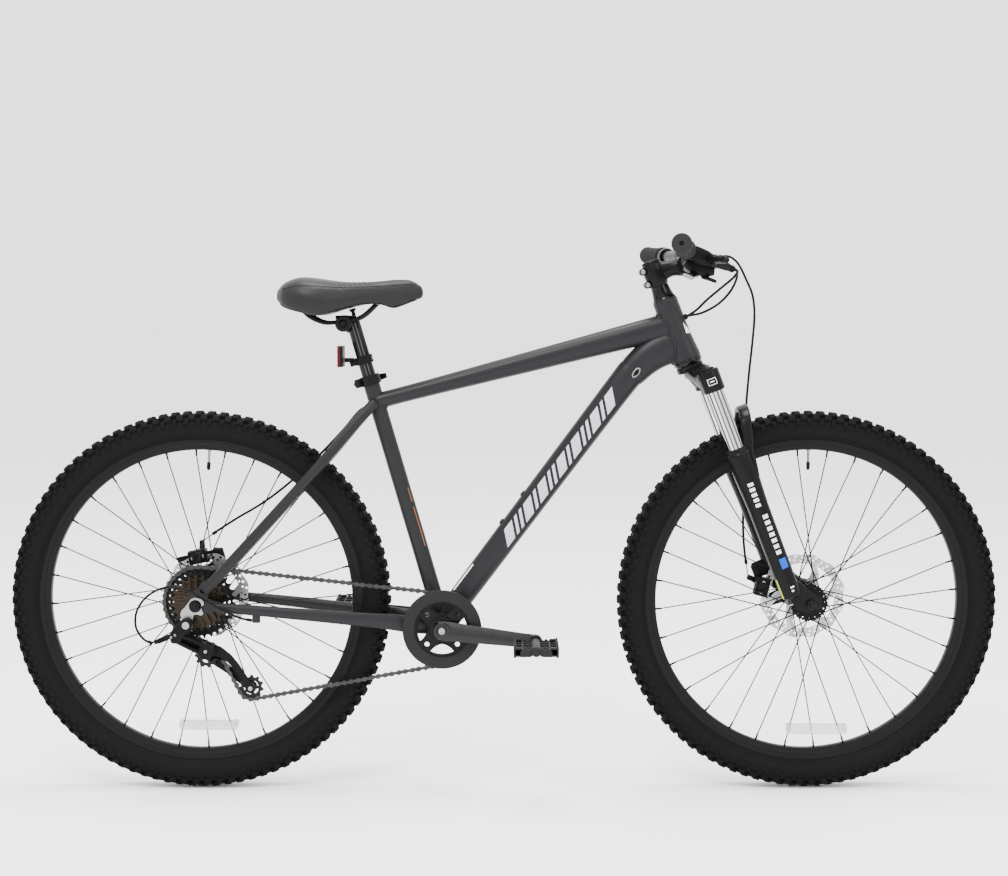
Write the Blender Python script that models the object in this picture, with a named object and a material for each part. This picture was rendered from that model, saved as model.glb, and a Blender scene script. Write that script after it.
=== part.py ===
"""Hardtail mountain bike: 27.5 inch wheels, suspension fork, disc brakes, one chainring and eight sprockets.

Lengths are written in millimetres and become metres when a mesh is made. X runs forward, Y to the
rider's left and Z up. The origin is on the ground, midway between the two wheels' contacts.
"""
import math

import bpy
import bmesh
from mathutils import Matrix, Vector

MM = 0.001
GAP = 0.3

# Wheels
WHEELBASE = 1113.0
TYRE_R = 349.0
TYRE_HALF = 28.5
RIM_OUT = 298.5
RIM_IN = 277.0
RIM_HALF = 14.0
WHEEL_SIDES = 32
SPOKES = 32
SPOKE_R = 1.0
ROTOR_R = 80.0

# Frame
BB_X, BB_Z = -112.5, 302.5
SHELL_HALF = 36.5
SEAT_LEAN = math.radians(16.3)
SEAT_TUBE = 476.0
HEAD_LEAN = math.radians(21.0)
HEAD_TUBE = 115.0
STAY_END = 70.0
DROPOUT_IN = 67.5

# Fork
LEG_Y = 65.0
LEG_FORWARD = 21.0
STANCHION_R = 15.0
SEAL = -177.0

# Drive
CRANK = 170.0
CRANK_TILT = math.radians(-6.0)
PITCH = 12.7
RING_TEETH = 32
RING_Y = -48.0
COGS = (32, 28, 24, 21, 19, 17, 15, 13)
COG_Y, COG_STEP = -29.0, -4.8
PULLEY_TEETH = 11
ROOT_DEPTH = 5.8

# Handlebar
BAR = Vector((334.0, 0.0, 964.0))
GRIP_IN = 212.0
LEVER_SLOPE = {-1: math.radians(20.0), 1: math.radians(2.0)}

X, Y, Z = Vector((1, 0, 0)), Vector((0, 1, 0)), Vector((0, 0, 1))
REAR = Vector((-WHEELBASE / 2, 0, TYRE_R))
FRONT = Vector((WHEELBASE / 2, 0, TYRE_R))
BB = Vector((BB_X, 0, BB_Z))
SEAT_UP = Vector((-math.sin(SEAT_LEAN), 0, math.cos(SEAT_LEAN)))
SEAT_FWD = Vector((math.cos(SEAT_LEAN), 0, math.sin(SEAT_LEAN)))
HEAD_LOW = Vector((334.0, 0, 791.5))
STEER_UP = Vector((-math.sin(HEAD_LEAN), 0, math.cos(HEAD_LEAN)))
STEER_FWD = Vector((math.cos(HEAD_LEAN), 0, math.sin(HEAD_LEAN)))
CRANK_DIR = Vector((math.cos(CRANK_TILT), 0, math.sin(CRANK_TILT)))
CLAMP = Vector((-291.0, 0, 857.0))
HANGER_BOLT = Vector((-571.0, 0, 317.0))
LINK_PIVOT = Vector((-586.0, -82.0, 293.0))
KNUCKLE_PIVOT = Vector((-541.0, -56.0, 264.0))
GUIDE = Vector((-544.0, COG_Y, 250.0))
TENSION = Vector((-464.0, COG_Y, 191.0))
LINK_AXIS = Vector((0.5547, 0, 0.832))
LINK_TRAVEL = -33.2

ROUND8 = [(math.cos(k * math.tau / 8), math.sin(k * math.tau / 8)) for k in range(8)]
ROUND12 = [(math.cos(k * math.tau / 12), math.sin(k * math.tau / 12)) for k in range(12)]
SQUARE = [(-1, -1), (1, -1), (1, 1), (-1, 1)]
SOFT_BOX = [(1, 0.6), (0.6, 1), (-0.6, 1), (-1, 0.6), (-1, -0.6), (-0.6, -1), (0.6, -1), (1, -0.6)]


def steer(along, forward, side=0.0):
    """A point measured up the steering axis from the head tube's lower end, then forward of it."""
    return HEAD_LOW + STEER_UP * along + STEER_FWD * forward + Y * side


def seat(along, forward=0.0, side=0.0):
    """A point measured up the seat tube from the bottom bracket, then forward of it."""
    return BB + SEAT_UP * along + SEAT_FWD * forward + Y * side


def bar_point(side):
    """The handlebar's centre line in its straight, swept outer part."""
    out = abs(side) - 105
    return Vector((325 - out * 36 / 233, side, 980 + out * 10 / 233))


def lever_axes(side):
    """A brake lever's direction forward from the bar, and its pivot's direction."""
    slope = LEVER_SLOPE[side]
    return Vector((math.cos(slope), 0, -math.sin(slope))), Vector((math.sin(slope), 0, math.cos(slope)))


def lever_pivot(side):
    return bar_point(side * 187) + lever_axes(side)[0] * 42


def pitch_radius(teeth):
    return PITCH / 2 / math.sin(math.pi / teeth)


def paint(name, colour, roughness, metallic=0.0):
    look = bpy.data.materials.new(name)
    look.use_nodes = True
    shader = look.node_tree.nodes["Principled BSDF"]
    shader.inputs["Base Color"].default_value = (*colour, 1)
    shader.inputs["Roughness"].default_value = roughness
    shader.inputs["Metallic"].default_value = metallic
    look.diffuse_color = (*colour, 1)
    return look


# ---------------------------------------------------------------- shapes


def make(name, points, faces, look):
    """One object from points in millimetres, its faces turned outwards."""
    mesh = bpy.data.meshes.new(name)
    mesh.from_pydata([Vector(point) * MM for point in points], [], faces)
    shape = bmesh.new()
    shape.from_mesh(mesh)
    bmesh.ops.recalc_face_normals(shape, faces=shape.faces[:])
    shape.to_mesh(mesh)
    shape.free()
    mesh.materials.append(look)
    piece = bpy.data.objects.new(name, mesh)
    bpy.context.collection.objects.link(piece)
    return piece


def loft(name, rings, look, closed=False):
    """A skin over rings of equally many points, capped at both ends or closed on itself."""
    count = len(rings[0])
    points = [point for ring in rings for point in ring]
    faces = []
    for i in range(len(rings) if closed else len(rings) - 1):
        low, high = i * count, (i + 1) % len(rings) * count
        for k in range(count):
            after = (k + 1) % count
            faces.append((low + k, low + after, high + after, high + k))
    if not closed:
        faces.append(tuple(range(count)))
        faces.append(tuple(range(len(points) - count, len(points))))
    return make(name, points, faces, look)


def sweep(name, path, sizes, look, section=ROUND12, side=None, closed=False):
    """A section carried along a path. Its first axis keeps to `side`, or turns as little as it can."""
    path = [Vector(point) for point in path]
    if isinstance(sizes[0], (int, float)):
        sizes = [sizes] * len(path)
    across = Vector(side) if side else None
    rings = []
    for i, point in enumerate(path):
        before = path[i - 1] if closed or i else point
        after = path[(i + 1) % len(path)] if closed or i + 1 < len(path) else point
        along = (after - before).normalized()
        across = Vector(side) if side else across or along.orthogonal()
        across = (across - along * across.dot(along)).normalized()
        up = along.cross(across)
        wide, high = sizes[i]
        rings.append([point + across * wide * u + up * high * v for u, v in section])
    return loft(name, rings, look, closed)


def turned(name, profile, centre, axis, look, sides=24):
    """A profile of (radius, height) turned about an axis. The flats lie at the radii given."""
    axis = Vector(axis).normalized()
    first = X if abs(axis.y) > 0.9 else Y
    first = (first - axis * first.dot(axis)).normalized()
    second = axis.cross(first)
    grow = 1 / math.cos(math.pi / sides)
    points, rows = [], []
    for radius, height in profile:
        base = Vector(centre) + axis * height
        turns = 1 if radius == 0 else sides
        rows.append(list(range(len(points), len(points) + turns)))
        for k in range(turns):
            angle = (k + 0.5) * math.tau / sides
            ray = first * math.cos(angle) + second * math.sin(angle)
            points.append(base + ray * radius * grow)
    ring = profile[0][0] > 0 and profile[-1][0] > 0
    faces = []
    for i in range(len(rows) if ring else len(rows) - 1):
        low, high = rows[i], rows[(i + 1) % len(rows)]
        for k in range(sides):
            after = (k + 1) % sides
            corners = [low[k % len(low)], low[after % len(low)], high[after % len(high)], high[k % len(high)]]
            faces.append(tuple(dict.fromkeys(corners)))
    return make(name, points, faces, look)


def rod(name, radius, start, end, look, sides=12):
    """A plain solid cylinder between two points."""
    start, end = Vector(start), Vector(end)
    length = (end - start).length
    profile = [(0, 0), (radius, 0), (radius, length), (0, length)]
    return turned(name, profile, start, end - start, look, sides)


def pipe(name, radius, bore, start, end, look, sides=16):
    """A cylinder with a hole right through it."""
    start, end = Vector(start), Vector(end)
    length = (end - start).length
    profile = [(bore, 0), (radius, 0), (radius, length), (bore, length)]
    return turned(name, profile, start, end - start, look, sides)


def plate(name, outline, low, high, look):
    """An outline of (x, z) points, thickened along Y."""
    rings = [[Vector((x, y, z)) for x, z in outline] for y in (low, high)]
    return loft(name, rings, look)


def block(name, centre, half, look, forward=X, up=Z):
    """A box with its own forward and up directions."""
    side = up.cross(forward)
    centre = Vector(centre)
    rings = []
    for end in (-1, 1):
        middle = centre + forward * half[0] * end
        rings.append([middle + side * half[1] * u + up * half[2] * v for u, v in SQUARE])
    return loft(name, rings, look)


def smooth(route, step):
    """Points at an even step along one smooth curve through a route's points."""
    route = [Vector(point) for point in route]
    ends = [route[0] * 2 - route[1]] + route + [route[-1] * 2 - route[-2]]
    fine = []
    for i in range(1, len(ends) - 2):
        a, b, c, d = ends[i - 1 : i + 3]
        for k in range(12):
            t = k / 12
            fine.append(0.5 * (2 * b + (c - a) * t + (2 * a - 5 * b + 4 * c - d) * t**2
                               + (3 * b - a - 3 * c + d) * t**3))
    fine.append(route[-1])
    lengths = [0.0]
    for one, two in zip(fine, fine[1:]):
        lengths.append(lengths[-1] + (two - one).length)
    count = max(2, round(lengths[-1] / step))
    points = []
    for n in range(count + 1):
        want = lengths[-1] * n / count
        i = next(j for j in range(1, len(lengths)) if lengths[j] >= want - 1e-9)
        share = (want - lengths[i - 1]) / (lengths[i] - lengths[i - 1])
        points.append(fine[i - 1].lerp(fine[i], share))
    return points


def cable(name, route, radius, look, step=17.0):
    """A housing that the bike holds all the way: a bevelled curve with eight sides and filled caps."""
    curve = bpy.data.curves.new(name, "CURVE")
    curve.dimensions = "3D"
    curve.bevel_depth = radius * MM
    curve.bevel_resolution = 2
    curve.use_fill_caps = True
    points = smooth(route, step)
    spline = curve.splines.new("POLY")
    spline.points.add(len(points) - 1)
    for slot, point in zip(spline.points, points):
        slot.co = (*(point * MM), 1)
    curve.materials.append(look)
    piece = bpy.data.objects.new(name, curve)
    bpy.context.collection.objects.link(piece)
    return piece


def as_mesh(piece):
    """The same object with its modifiers, or its curve, turned into a plain mesh."""
    graph = bpy.context.evaluated_depsgraph_get()
    mesh = bpy.data.meshes.new_from_object(piece.evaluated_get(graph))
    if piece.type == "MESH":
        piece.modifiers.clear()
        piece.data = mesh
        return piece
    name = piece.name
    bpy.data.objects.remove(piece)
    solid = bpy.data.objects.new(name, mesh)
    bpy.context.collection.objects.link(solid)
    return solid


def boolean(base, others, operation):
    for other in others:
        other.hide_render = True
        other.display_type = "WIRE"
        modifier = base.modifiers.new("Boolean", "BOOLEAN")
        modifier.operation = operation
        modifier.object = other
    base = as_mesh(base)
    for other in others:
        bpy.data.objects.remove(other)
    return base


def join(base, *others):
    return boolean(base, others, "UNION")


def cut(base, *others):
    return boolean(base, others, "DIFFERENCE")


BODIES = {}


def body(name, origin=(0, 0, 0)):
    """An empty on a moving body's joint axis, which its pieces hang from."""
    empty = bpy.data.objects.new("axis_" + name, None)
    empty.location = Vector(origin) * MM
    empty.empty_display_size = 0.03
    bpy.context.collection.objects.link(empty)
    BODIES[name] = empty


def hang(name, *pieces):
    for piece in pieces:
        piece.parent = BODIES[name]
        piece.matrix_parent_inverse = Matrix.Translation(-BODIES[name].location)
        if piece.type == "MESH":
            piece.data.shade_smooth()
            piece.data.set_sharp_from_angle(angle=math.radians(40))


# ---------------------------------------------------------------- frame


def seat_tube_and_shell():
    seat_tube = rod("frame", 15, seat(0), seat(SEAT_TUBE), PAINT, 16)
    shell = rod("shell", 21, BB - Y * SHELL_HALF, BB + Y * SHELL_HALF, PAINT, 16)
    return seat_tube, shell


def main_tubes():
    top = sweep("top_tube", [(-233, 0, 714.7), (-134.8, 0, 740.1), (225, 0, 833.3), (309.8, 0, 854.5)],
                [(16, 15), (16, 15.3), (19, 22.5), (20, 24.5)], PAINT, ROUND12, Y)
    down = sweep("down_tube",
                 [(-112.5, 0, 306), (-76.6, 0, 356.7), (195.3, 0, 720.5), (238, 0, 772), (275, 0, 803),
                  (322, 0, 822)],
                 [(20, 21), (20, 22.5), (22, 25.5), (22, 28), (22, 31), (21, 32)], PAINT, ROUND12, Y)
    head = turned("head_tube", [(0, 0), (27, 0), (27, 12), (23.5, 42), (23, HEAD_TUBE), (0, HEAD_TUBE)],
                  HEAD_LOW, STEER_UP, PAINT, 16)
    return top, down, head


def stays(side):
    chain = sweep("chainstay",
                  [(-118, side * 27, 303), (-170, side * 34.5, 308), (-216, side * 41, 315),
                   (-300, side * 52, 324), (-388, side * 62, 333.4), (-524, side * STAY_END, 346)],
                  [(7.5, 15), (7.5, 15.5), (7.5, 14.5), (8, 12), (8.5, 10.5), (6.5, 8.5)],
                  PAINT, ROUND8, Y)
    seatstay = sweep("seatstay",
                     [(-541, side * STAY_END, 375), (-513, side * STAY_END, 405), (-430, side * 65, 495),
                      (-330, side * 49, 605), (-266, side * 31, 680), (-236, side * 15, 713)],
                     [(6.5, 8.5), (8, 9.5), (8.5, 9.5), (8.5, 9.5), (8.5, 9.5), (8, 9.5)],
                     PAINT, ROUND8, Y)
    return chain, seatstay


def dropout(side):
    slot = [(-5.6, -17), (-5.6, 0), (-4, 4), (0, 5.6), (4, 4), (5.6, 0), (5.6, -17)]
    edge = [(20, -13), (45, -8), (45, 6), (22, 13), (34, 34), (16, 46), (-6, 24), (-14, 10), (-15, -9)]
    outline = [(REAR.x + x, REAR.z + z) for x, z in slot + edge]
    low, high = sorted((side * DROPOUT_IN, side * (DROPOUT_IN + 6)))
    return plate("dropout", outline, low, high, PAINT)


def frame_small_parts():
    """Bridges between the stays, the rear brake's tab, a cable stop and two bottle cage bosses."""
    bridge = rod("bridge", 7, (-316, -50, 626), (-316, 50, 626), PAINT, 8)
    low_bridge = rod("low_bridge", 8, (-164, -36, 307), (-164, 36, 307), PAINT, 8)
    tab = plate("brake_tab", [(-518, 398), (-529, 436), (-546, 436), (-549, 409), (-562, 402), (-586, 400),
                              (-598, 421), (-614, 417), (-603, 388), (-572, 378), (-545, 370), (-528, 378)],
                65.3, 71.3, PAINT)
    stop = block("stop", (-448, -66, 325.5), (7, 4, 8.5), PAINT)
    bosses = []
    for along in (0.337, 0.478):
        foot = Vector((-76.6, 0, 356.7)).lerp(Vector((195.3, 0, 720.5)), along)
        bosses.append(rod("boss", 5, foot + BOSS_UP * 15, foot + BOSS_UP * 27, PAINT, 12))
    return [bridge, low_bridge, tab, stop, *bosses]


BOSS_UP = Vector((720.5 - 356.7, 0, -(195.3 + 76.6))).normalized() * -1


def make_frame():
    frame, shell = seat_tube_and_shell()
    pieces = [shell, *main_tubes(), *frame_small_parts()]
    for side in (-1, 1):
        pieces += [*stays(side), dropout(side)]
    frame = join(frame, *pieces)
    cutters = [rod("seat_bore", 13.2, seat(190), seat(SEAT_TUBE + 30), PAINT, 16),
               rod("shell_bore", 17.6, BB - Y * 80, BB + Y * 80, PAINT, 16),
               rod("head_bore", 18, steer(-60, 0), steer(HEAD_TUBE + 60, 0), PAINT, 20)]
    hang("frame", cut(frame, *cutters))


def make_headset():
    upper = turned("headset_upper", [(15.4, 100), (17.6, 100), (17.6, HEAD_TUBE + GAP), (22.5, HEAD_TUBE + GAP),
                                     (22.5, 123), (17.5, 143), (15.4, 143)],
                   HEAD_LOW, STEER_UP, BLACK, 20)
    lower = turned("headset_lower", [(15.4, 14), (17.6, 14), (17.6, -GAP), (26.5, -GAP), (26.5, -6), (24, -10),
                                     (15.4, -10)],
                   HEAD_LOW, STEER_UP, BLACK, 20)
    bracket = turned("bottom_bracket",
                     [(9.4, -39), (16, -39), (19.5, -38.5), (19.5, -36.8), (17.2, -36.8), (17.2, 36.8),
                      (19.5, 36.8), (19.5, 38.5), (16, 39), (9.4, 39)], BB, Y, STEEL, 16)
    hang("frame", upper, lower, bracket)


def make_seat_clamp():
    middle = seat(470)
    collar = turned("seat_collar", [(15.4, -9), (19, -9), (19, 9), (15.4, 9)], middle, SEAT_UP, BLACK, 20)
    ear = block("ear", middle - SEAT_FWD * 22, (6, 11, 8), BLACK, SEAT_FWD, SEAT_UP)
    nut = rod("nut", 6, middle - SEAT_FWD * 24 - Y * 10, middle - SEAT_FWD * 24 - Y * 19, BLACK, 8)
    bore = rod("bore", 15.4, seat(440), seat(500), BLACK, 20)
    hang("frame", cut(join(collar, ear, nut), bore))

    path = [(-24, 18), (-12, 23.5), (6, 25), (20, 22), (29, 16)]
    blade = sweep("seat_lever", [seat(470, n, y) for n, y in path], [(6, 2.5)] * 5, BLACK, SOFT_BOX, SEAT_UP)
    hub = rod("hub", 6.5, seat(463, -24, 18), seat(477, -24, 18), BLACK, 12)
    hang("seat_lever", join(blade, hub))


# ---------------------------------------------------------------- seatpost and saddle


def make_seatpost():
    post = rod("seatpost", 12.7, seat(272), seat(556), BLACK, 16)
    neck = rod("neck", 10.5, seat(550), seat(578), BLACK, 12)
    arm = rod("arm", 9, seat(570), CLAMP, BLACK, 8)
    eye = rod("eye", 13, CLAMP - Y * 17, CLAMP + Y * 17, BLACK, 12)
    bore = rod("bore", 4.6, CLAMP - Y * 40, CLAMP + Y * 40, BLACK, 8)
    hang("seatpost", cut(join(post, neck, arm, eye), bore))

    band = rod("rear_reflector", 17, seat(501), seat(516), RED, 16)
    arm = block("arm", seat(508) - X * 26, (17, 5, 5), RED)
    lens = block("lens", (-300, 0, 797), (3.5, 25, 20), RED)
    bore = rod("bore", 13.1, seat(480), seat(540), RED, 16)
    hang("seatpost", cut(join(band, arm, lens), bore))


SADDLE = [
    # x, half width, top, skirt
    (-412, 30, 918, 899),
    (-396, 58, 933, 886),
    (-366, 74, 941, 877),
    (-330, 76, 938, 872),
    (-290, 60, 932.5, 883),
    (-250, 39, 932, 894),
    (-205, 27, 936, 894),
    (-165, 21, 936.5, 899),
    (-146, 10, 924, 905),
]


def make_saddle():
    crown = [(-1, 0.35), (-0.88, 0.72), (-0.5, 0.96), (0, 1), (0.5, 0.96), (0.88, 0.72), (1, 0.35), (0.93, 0),
             (-0.93, 0)]
    cover = [[Vector((x, half * u, skirt + 4.5 + (top - skirt - 4.5) * v)) for u, v in crown]
             for x, half, top, skirt in SADDLE]
    base = [[Vector((x, half * 0.9 * u, skirt + 2 + 2 * v)) for u, v in SQUARE]
            for x, half, top, skirt in SADDLE]
    hang("saddle", loft("saddle_cover", cover, HIDE), loft("saddle_base", base, PLASTIC))

    right = [(-354, -38, 867.5), (-336, -27, 861.5), (-320, -22, 858), (-292, -22, 861.5), (-263, -22, 867),
             (-246, -19, 880), (-236, -12, 887.5)]
    route = right + [(-232, 0, 889)] + [(x, -y, z) for x, y, z in reversed(right)]
    rails = sweep("saddle_rails", route, (3.5, 3.5), STEEL, ROUND8, None)
    jaws = [rod("jaw", 13, CLAMP + Y * side * 18.6, CLAMP + Y * side * 29, STEEL, 12) for side in (-1, 1)]
    bolt = rod("bolt", 4, CLAMP - Y * 34, CLAMP + Y * 34, STEEL, 8)
    hang("saddle", join(rails, *jaws, bolt))


# ---------------------------------------------------------------- fork


def make_crown():
    steerer = rod("fork_crown", 14.3, steer(-24, 0), steer(184, 0), BLACK, 16)
    race = rod("race", 24, steer(-10.5, 0), steer(-22, 0), BLACK, 16)
    path = [(-66, -47, 20), (-46, -40, 14), (-26, -26, 8), (0, -24, 4)]
    path = path + [(-y, s, n) for y, s, n in reversed(path[:-1])]
    sizes = [(18, 17), (17, 13), (20, 10), (22, 10), (20, 10), (17, 13), (18, 17)]
    bridge = sweep("bridge", [steer(s, n, y) for y, s, n in path], sizes, BLACK, SOFT_BOX, STEER_FWD)
    sockets = [rod("socket", 20, steer(-27, LEG_FORWARD, y), steer(-67, LEG_FORWARD, y), BLACK, 16)
               for y in (-LEG_Y, LEG_Y)]
    bores = [rod("bore", STANCHION_R + GAP, steer(-33, LEG_FORWARD, y), steer(-90, LEG_FORWARD, y), BLACK, 16)
             for y in (-LEG_Y, LEG_Y)]
    hollow = rod("hollow", 11.2, steer(-12, 0), steer(200, 0), BLACK, 16)
    hang("steering", cut(join(steerer, race, bridge, *sockets), *bores, hollow))
    for name, y in (("stanchion_right", -LEG_Y), ("stanchion_left", LEG_Y)):
        tube = pipe(name, STANCHION_R, 12.5, steer(-33 - GAP, LEG_FORWARD, y), steer(-305, LEG_FORWARD, y),
                    CHROME, 16)
        hang("steering", tube)


def make_lowers():
    pieces = []
    for y in (-LEG_Y, LEG_Y):
        profile = [(0, SEAL), (19.5, SEAL), (19.5, SEAL - 9), (22.5, SEAL - 12), (22, SEAL - 50), (19, -290),
                   (18, -462), (0, -468)]
        pieces.append(turned("leg", profile, steer(0, LEG_FORWARD, y), STEER_UP, BLACK, 16))
    arch = [(-62, -206, 34), (-57, -176, 46), (-44, -140, 57), (-20, -122, 62), (0, -119, 63)]
    arch = arch + [(-y, s, n) for y, s, n in reversed(arch[:-1])]
    pieces.append(sweep("arch", [steer(s, n, y) for y, s, n in arch], (10, 5.5), BLACK, SOFT_BOX, STEER_FWD))
    for side in (-1, 1):
        pieces.append(fork_dropout(side))
    for outline in BRAKE_TABS:
        tab = [steer(s, n) for s, n in outline]
        pieces.append(plate("tab", [(p.x, p.z) for p in tab], 52.8, 58.8, BLACK))
    lowers = join(pieces[0], *pieces[1:])
    lowers.name = "fork_lowers"
    bores = [rod("bore", STANCHION_R + GAP, steer(-150, LEG_FORWARD, y), steer(-420, LEG_FORWARD, y), BLACK, 16)
             for y in (-LEG_Y, LEG_Y)]
    hang("lowers", cut(lowers, *bores))


BRAKE_TABS = [
    [(-403, 20), (-405, -18), (-434, -18), (-436, 20)],
    [(-468, 20), (-470, -22), (-492, -22), (-496, 30)],
]


def fork_dropout(side):
    outline = [(-5, -14), (-5, 0), (-3.6, 3.6), (0, 5), (3.6, 3.6), (5, 0), (5, -14), (17, -10), (20, 4),
               (12, 18), (-8, 50), (-28, 52), (-36, 38), (-32, 14), (-17, -8)]
    points = [FRONT + STEER_FWD * n + STEER_UP * s for n, s in outline]
    low, high = sorted((side * 50.3, side * 58))
    return plate("dropout", [(p.x, p.z) for p in points], low, high, BLACK)


# ---------------------------------------------------------------- handlebar and controls


def make_stem():
    clamp_at = 172.5 * math.cos(HEAD_LEAN)
    steerer_clamp = rod("stem", 20, steer(143.4, 0), steer(186, 0), BLACK, 16)
    neck = sweep("neck", [steer(165, 4), steer(164, 30), steer(clamp_at, 54)], [(15, 17), (13, 14), (17, 16)],
                 BLACK, SOFT_BOX, Y)
    bar_clamp = rod("bar_clamp", 21, BAR - Y * 22, BAR + Y * 22, BLACK, 16)
    ears = [rod("ear", 6.5, steer(s, -22, -16), steer(s, -22, 16), BLACK, 8) for s in (152, 177)]
    front_half = block("front_half", BAR + STEER_FWD * 40, (40, 40, 40), BLACK, STEER_FWD, STEER_UP)
    bore = rod("bore", 16.2, BAR - Y * 60, BAR + Y * 60, BLACK, 16)
    steerer_bore = rod("steerer_bore", 14.6, steer(130, 0), steer(200, 0), BLACK, 16)
    slot = block("slot", steer(165, -24), (14, 0.8, 40), BLACK, STEER_FWD, STEER_UP)
    stem = join(steerer_clamp, neck, bar_clamp, *ears)
    stem = cut(stem, front_half, bore, steerer_bore, slot)

    faceplate = pipe("stem_faceplate", 21, 16.2, BAR - Y * 22, BAR + Y * 22, BLACK, 16)
    rear_half = block("rear_half", BAR - STEER_FWD * 39.4, (40, 40, 40), BLACK, STEER_FWD, STEER_UP)
    faceplate = cut(faceplate, rear_half)
    cap = turned("stem_cap", [(0, 150), (3, 150), (3, 186 + GAP), (17, 186 + GAP), (17, 189), (15, 191.5),
                              (0, 191.5)], HEAD_LOW, STEER_UP, BLACK, 16)
    hang("steering", stem, faceplate, cap)


def make_bar():
    right = [(bar_point(-336), 11.1), (bar_point(-230), 11.1), (bar_point(-118), 11.1),
             (Vector((327, -92, 978)), 11.3), (Vector((331, -66, 969)), 12.5), (Vector((333.5, -44, 964.6)), 14.5),
             (BAR - Y * 28, 15.9)]
    left = [(Vector((p.x, -p.y, p.z)), r) for p, r in reversed(right)]
    route = right + left
    bar = sweep("handlebar", [p for p, r in route], [(r, r) for p, r in route], BLACK, ROUND12, X)
    hang("steering", bar)
    for name, side in (("grip_right", -1), ("grip_left", 1)):
        start = bar_point(side * GRIP_IN)
        grip = turned(name, [(11.5, 0), (18, 0), (18, 5), (16, 8), (16.4, 120), (17.3, 127), (14, 131), (2.5, 131),
                             (2.5, 127.6), (11.5, 127.6)],
                      start, bar_point(side * 300) - start, RUBBER, 16)
        hang("steering", grip)


def bar_clamp(name, side, inner, outer, look):
    """A split clamp round the swept part of the handlebar."""
    return pipe(name, 16, 11.5, bar_point(side * inner), bar_point(side * outer), look, 12)


def make_brake_controls():
    for name, side in (("right", -1), ("left", 1)):
        ahead, axis = lever_axes(side)
        mount, pivot = bar_point(side * 187), lever_pivot(side)
        inward = -Y * side
        clamp = bar_clamp("brake_perch_" + name, side, 177, 197, BLACK)
        arm = sweep("arm", [mount + ahead * 13, mount + ahead * 28 + inward * 3,
                            pivot + ahead * 4 + inward * 12],
                    [(12, 9), (12, 8), (10, 8)], BLACK, SOFT_BOX, Y)
        barrel = rod("barrel", 5.5, pivot + ahead * 2 + inward * 14, pivot + ahead * 55 + inward * 48,
                     BLACK, 8)
        bore = rod("bore", 11.5, bar_point(side * 150), bar_point(side * 210), BLACK, 12)
        room = rod("room", 9, pivot + axis * 20, pivot - axis * 20, BLACK, 12)
        hang("steering", cut(join(clamp, arm, barrel), bore, room))

        route = [pivot - inward * 2, pivot + ahead * 8 - inward * 22, pivot + ahead * 6 - inward * 60,
                 pivot + ahead * 9 - inward * 98, pivot + ahead * 16 - inward * 116]
        blade = sweep("brake_lever_" + name, route, [(5, 6), (4, 6.5), (3.5, 7), (3.5, 7), (3, 5)], BLACK,
                      SOFT_BOX, ahead)
        boss = rod("boss", 6.5, pivot - axis * 5, pivot + axis * 5, BLACK, 12)
        hang("brake_lever_" + name, join(blade, boss))


SHIFT_PIVOT = Vector((331.0, -150.0, 943.5))
RELEASE_PIVOT = Vector((349.0, -152.0, 938.0))


def make_shifter():
    clamp = bar_clamp("shifter", -1, 146, 160, BLACK)
    shell = sweep("shell", [(317, -150, 969), (332, -148, 958), (350, -147, 951), (360, -146, 950)],
                  [(13, 7), (18, 8.5), (17, 8.5), (11, 6)], BLACK, SOFT_BOX, Y)
    barrel = rod("barrel", 4.5, (350, -141, 953), (364, -122, 955), BLACK, 8)
    bore = rod("bore", 11.5, bar_point(-120), bar_point(-190), BLACK, 12)
    hang("steering", cut(join(clamp, shell, barrel), bore))

    ahead = lever_axes(-1)[0]
    thumb = sweep("shift_lever", [SHIFT_PIVOT, SHIFT_PIVOT + Vector((-8, -22, -3)),
                                  SHIFT_PIVOT + Vector((-16, -42, -5))],
                  [(7, 2.5), (6, 2.5), (8, 2.5)], STEEL, SOFT_BOX, ahead)
    hang("shift_lever", thumb)
    release = sweep("release_lever", [RELEASE_PIVOT, RELEASE_PIVOT + Vector((6, -14, -3)),
                                      RELEASE_PIVOT + Vector((10, -30, -6))],
                    [(5, 2.2), (4.5, 2.2), (5.5, 2.2)], BLACK, SOFT_BOX, ahead)
    hang("release_lever", release)


# ---------------------------------------------------------------- wheels


def make_tyre_and_rim(name, centre):
    half = [(288.4, 10.6), (299.6, 11.6), (314, 24.6), (332, TYRE_HALF), (TYRE_R, 12)]
    inner = [(288.4, 7.6), (302, 10.5), (334, 20)]
    profile = half + [(r, -y) for r, y in reversed(half)] + [(r, -y) for r, y in inner]
    profile += [(r, y) for r, y in reversed(inner)]
    tyre = turned(name + "_tyre", profile, centre, Y, RUBBER, WHEEL_SIDES)
    side = [(RIM_OUT, RIM_HALF), (RIM_OUT, 12), (287.5, 11)]
    profile = side + [(r, -y) for r, y in reversed(side)] + [(RIM_IN, -9), (RIM_IN, 9)]
    rim = turned(name + "_rim", profile, centre, Y, RIM, WHEEL_SIDES)
    hang(name + "_wheel", tyre, rim)


def spoke(centre, hub_r, hub_y, hub_angle, rim_angle, look):
    """A thin prism from its hole in a hub flange to its nipple inside the rim."""
    start = centre + Vector((hub_r * math.cos(hub_angle), hub_y, hub_r * math.sin(hub_angle)))
    rim_y = math.copysign(2.5, hub_y)
    reach = RIM_IN - 0.8
    end = centre + Vector((reach * math.cos(rim_angle), rim_y, reach * math.sin(rim_angle)))
    return sweep("spoke", [start, end], (SPOKE_R, SPOKE_R), look, ROUND12[::4], None)


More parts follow.
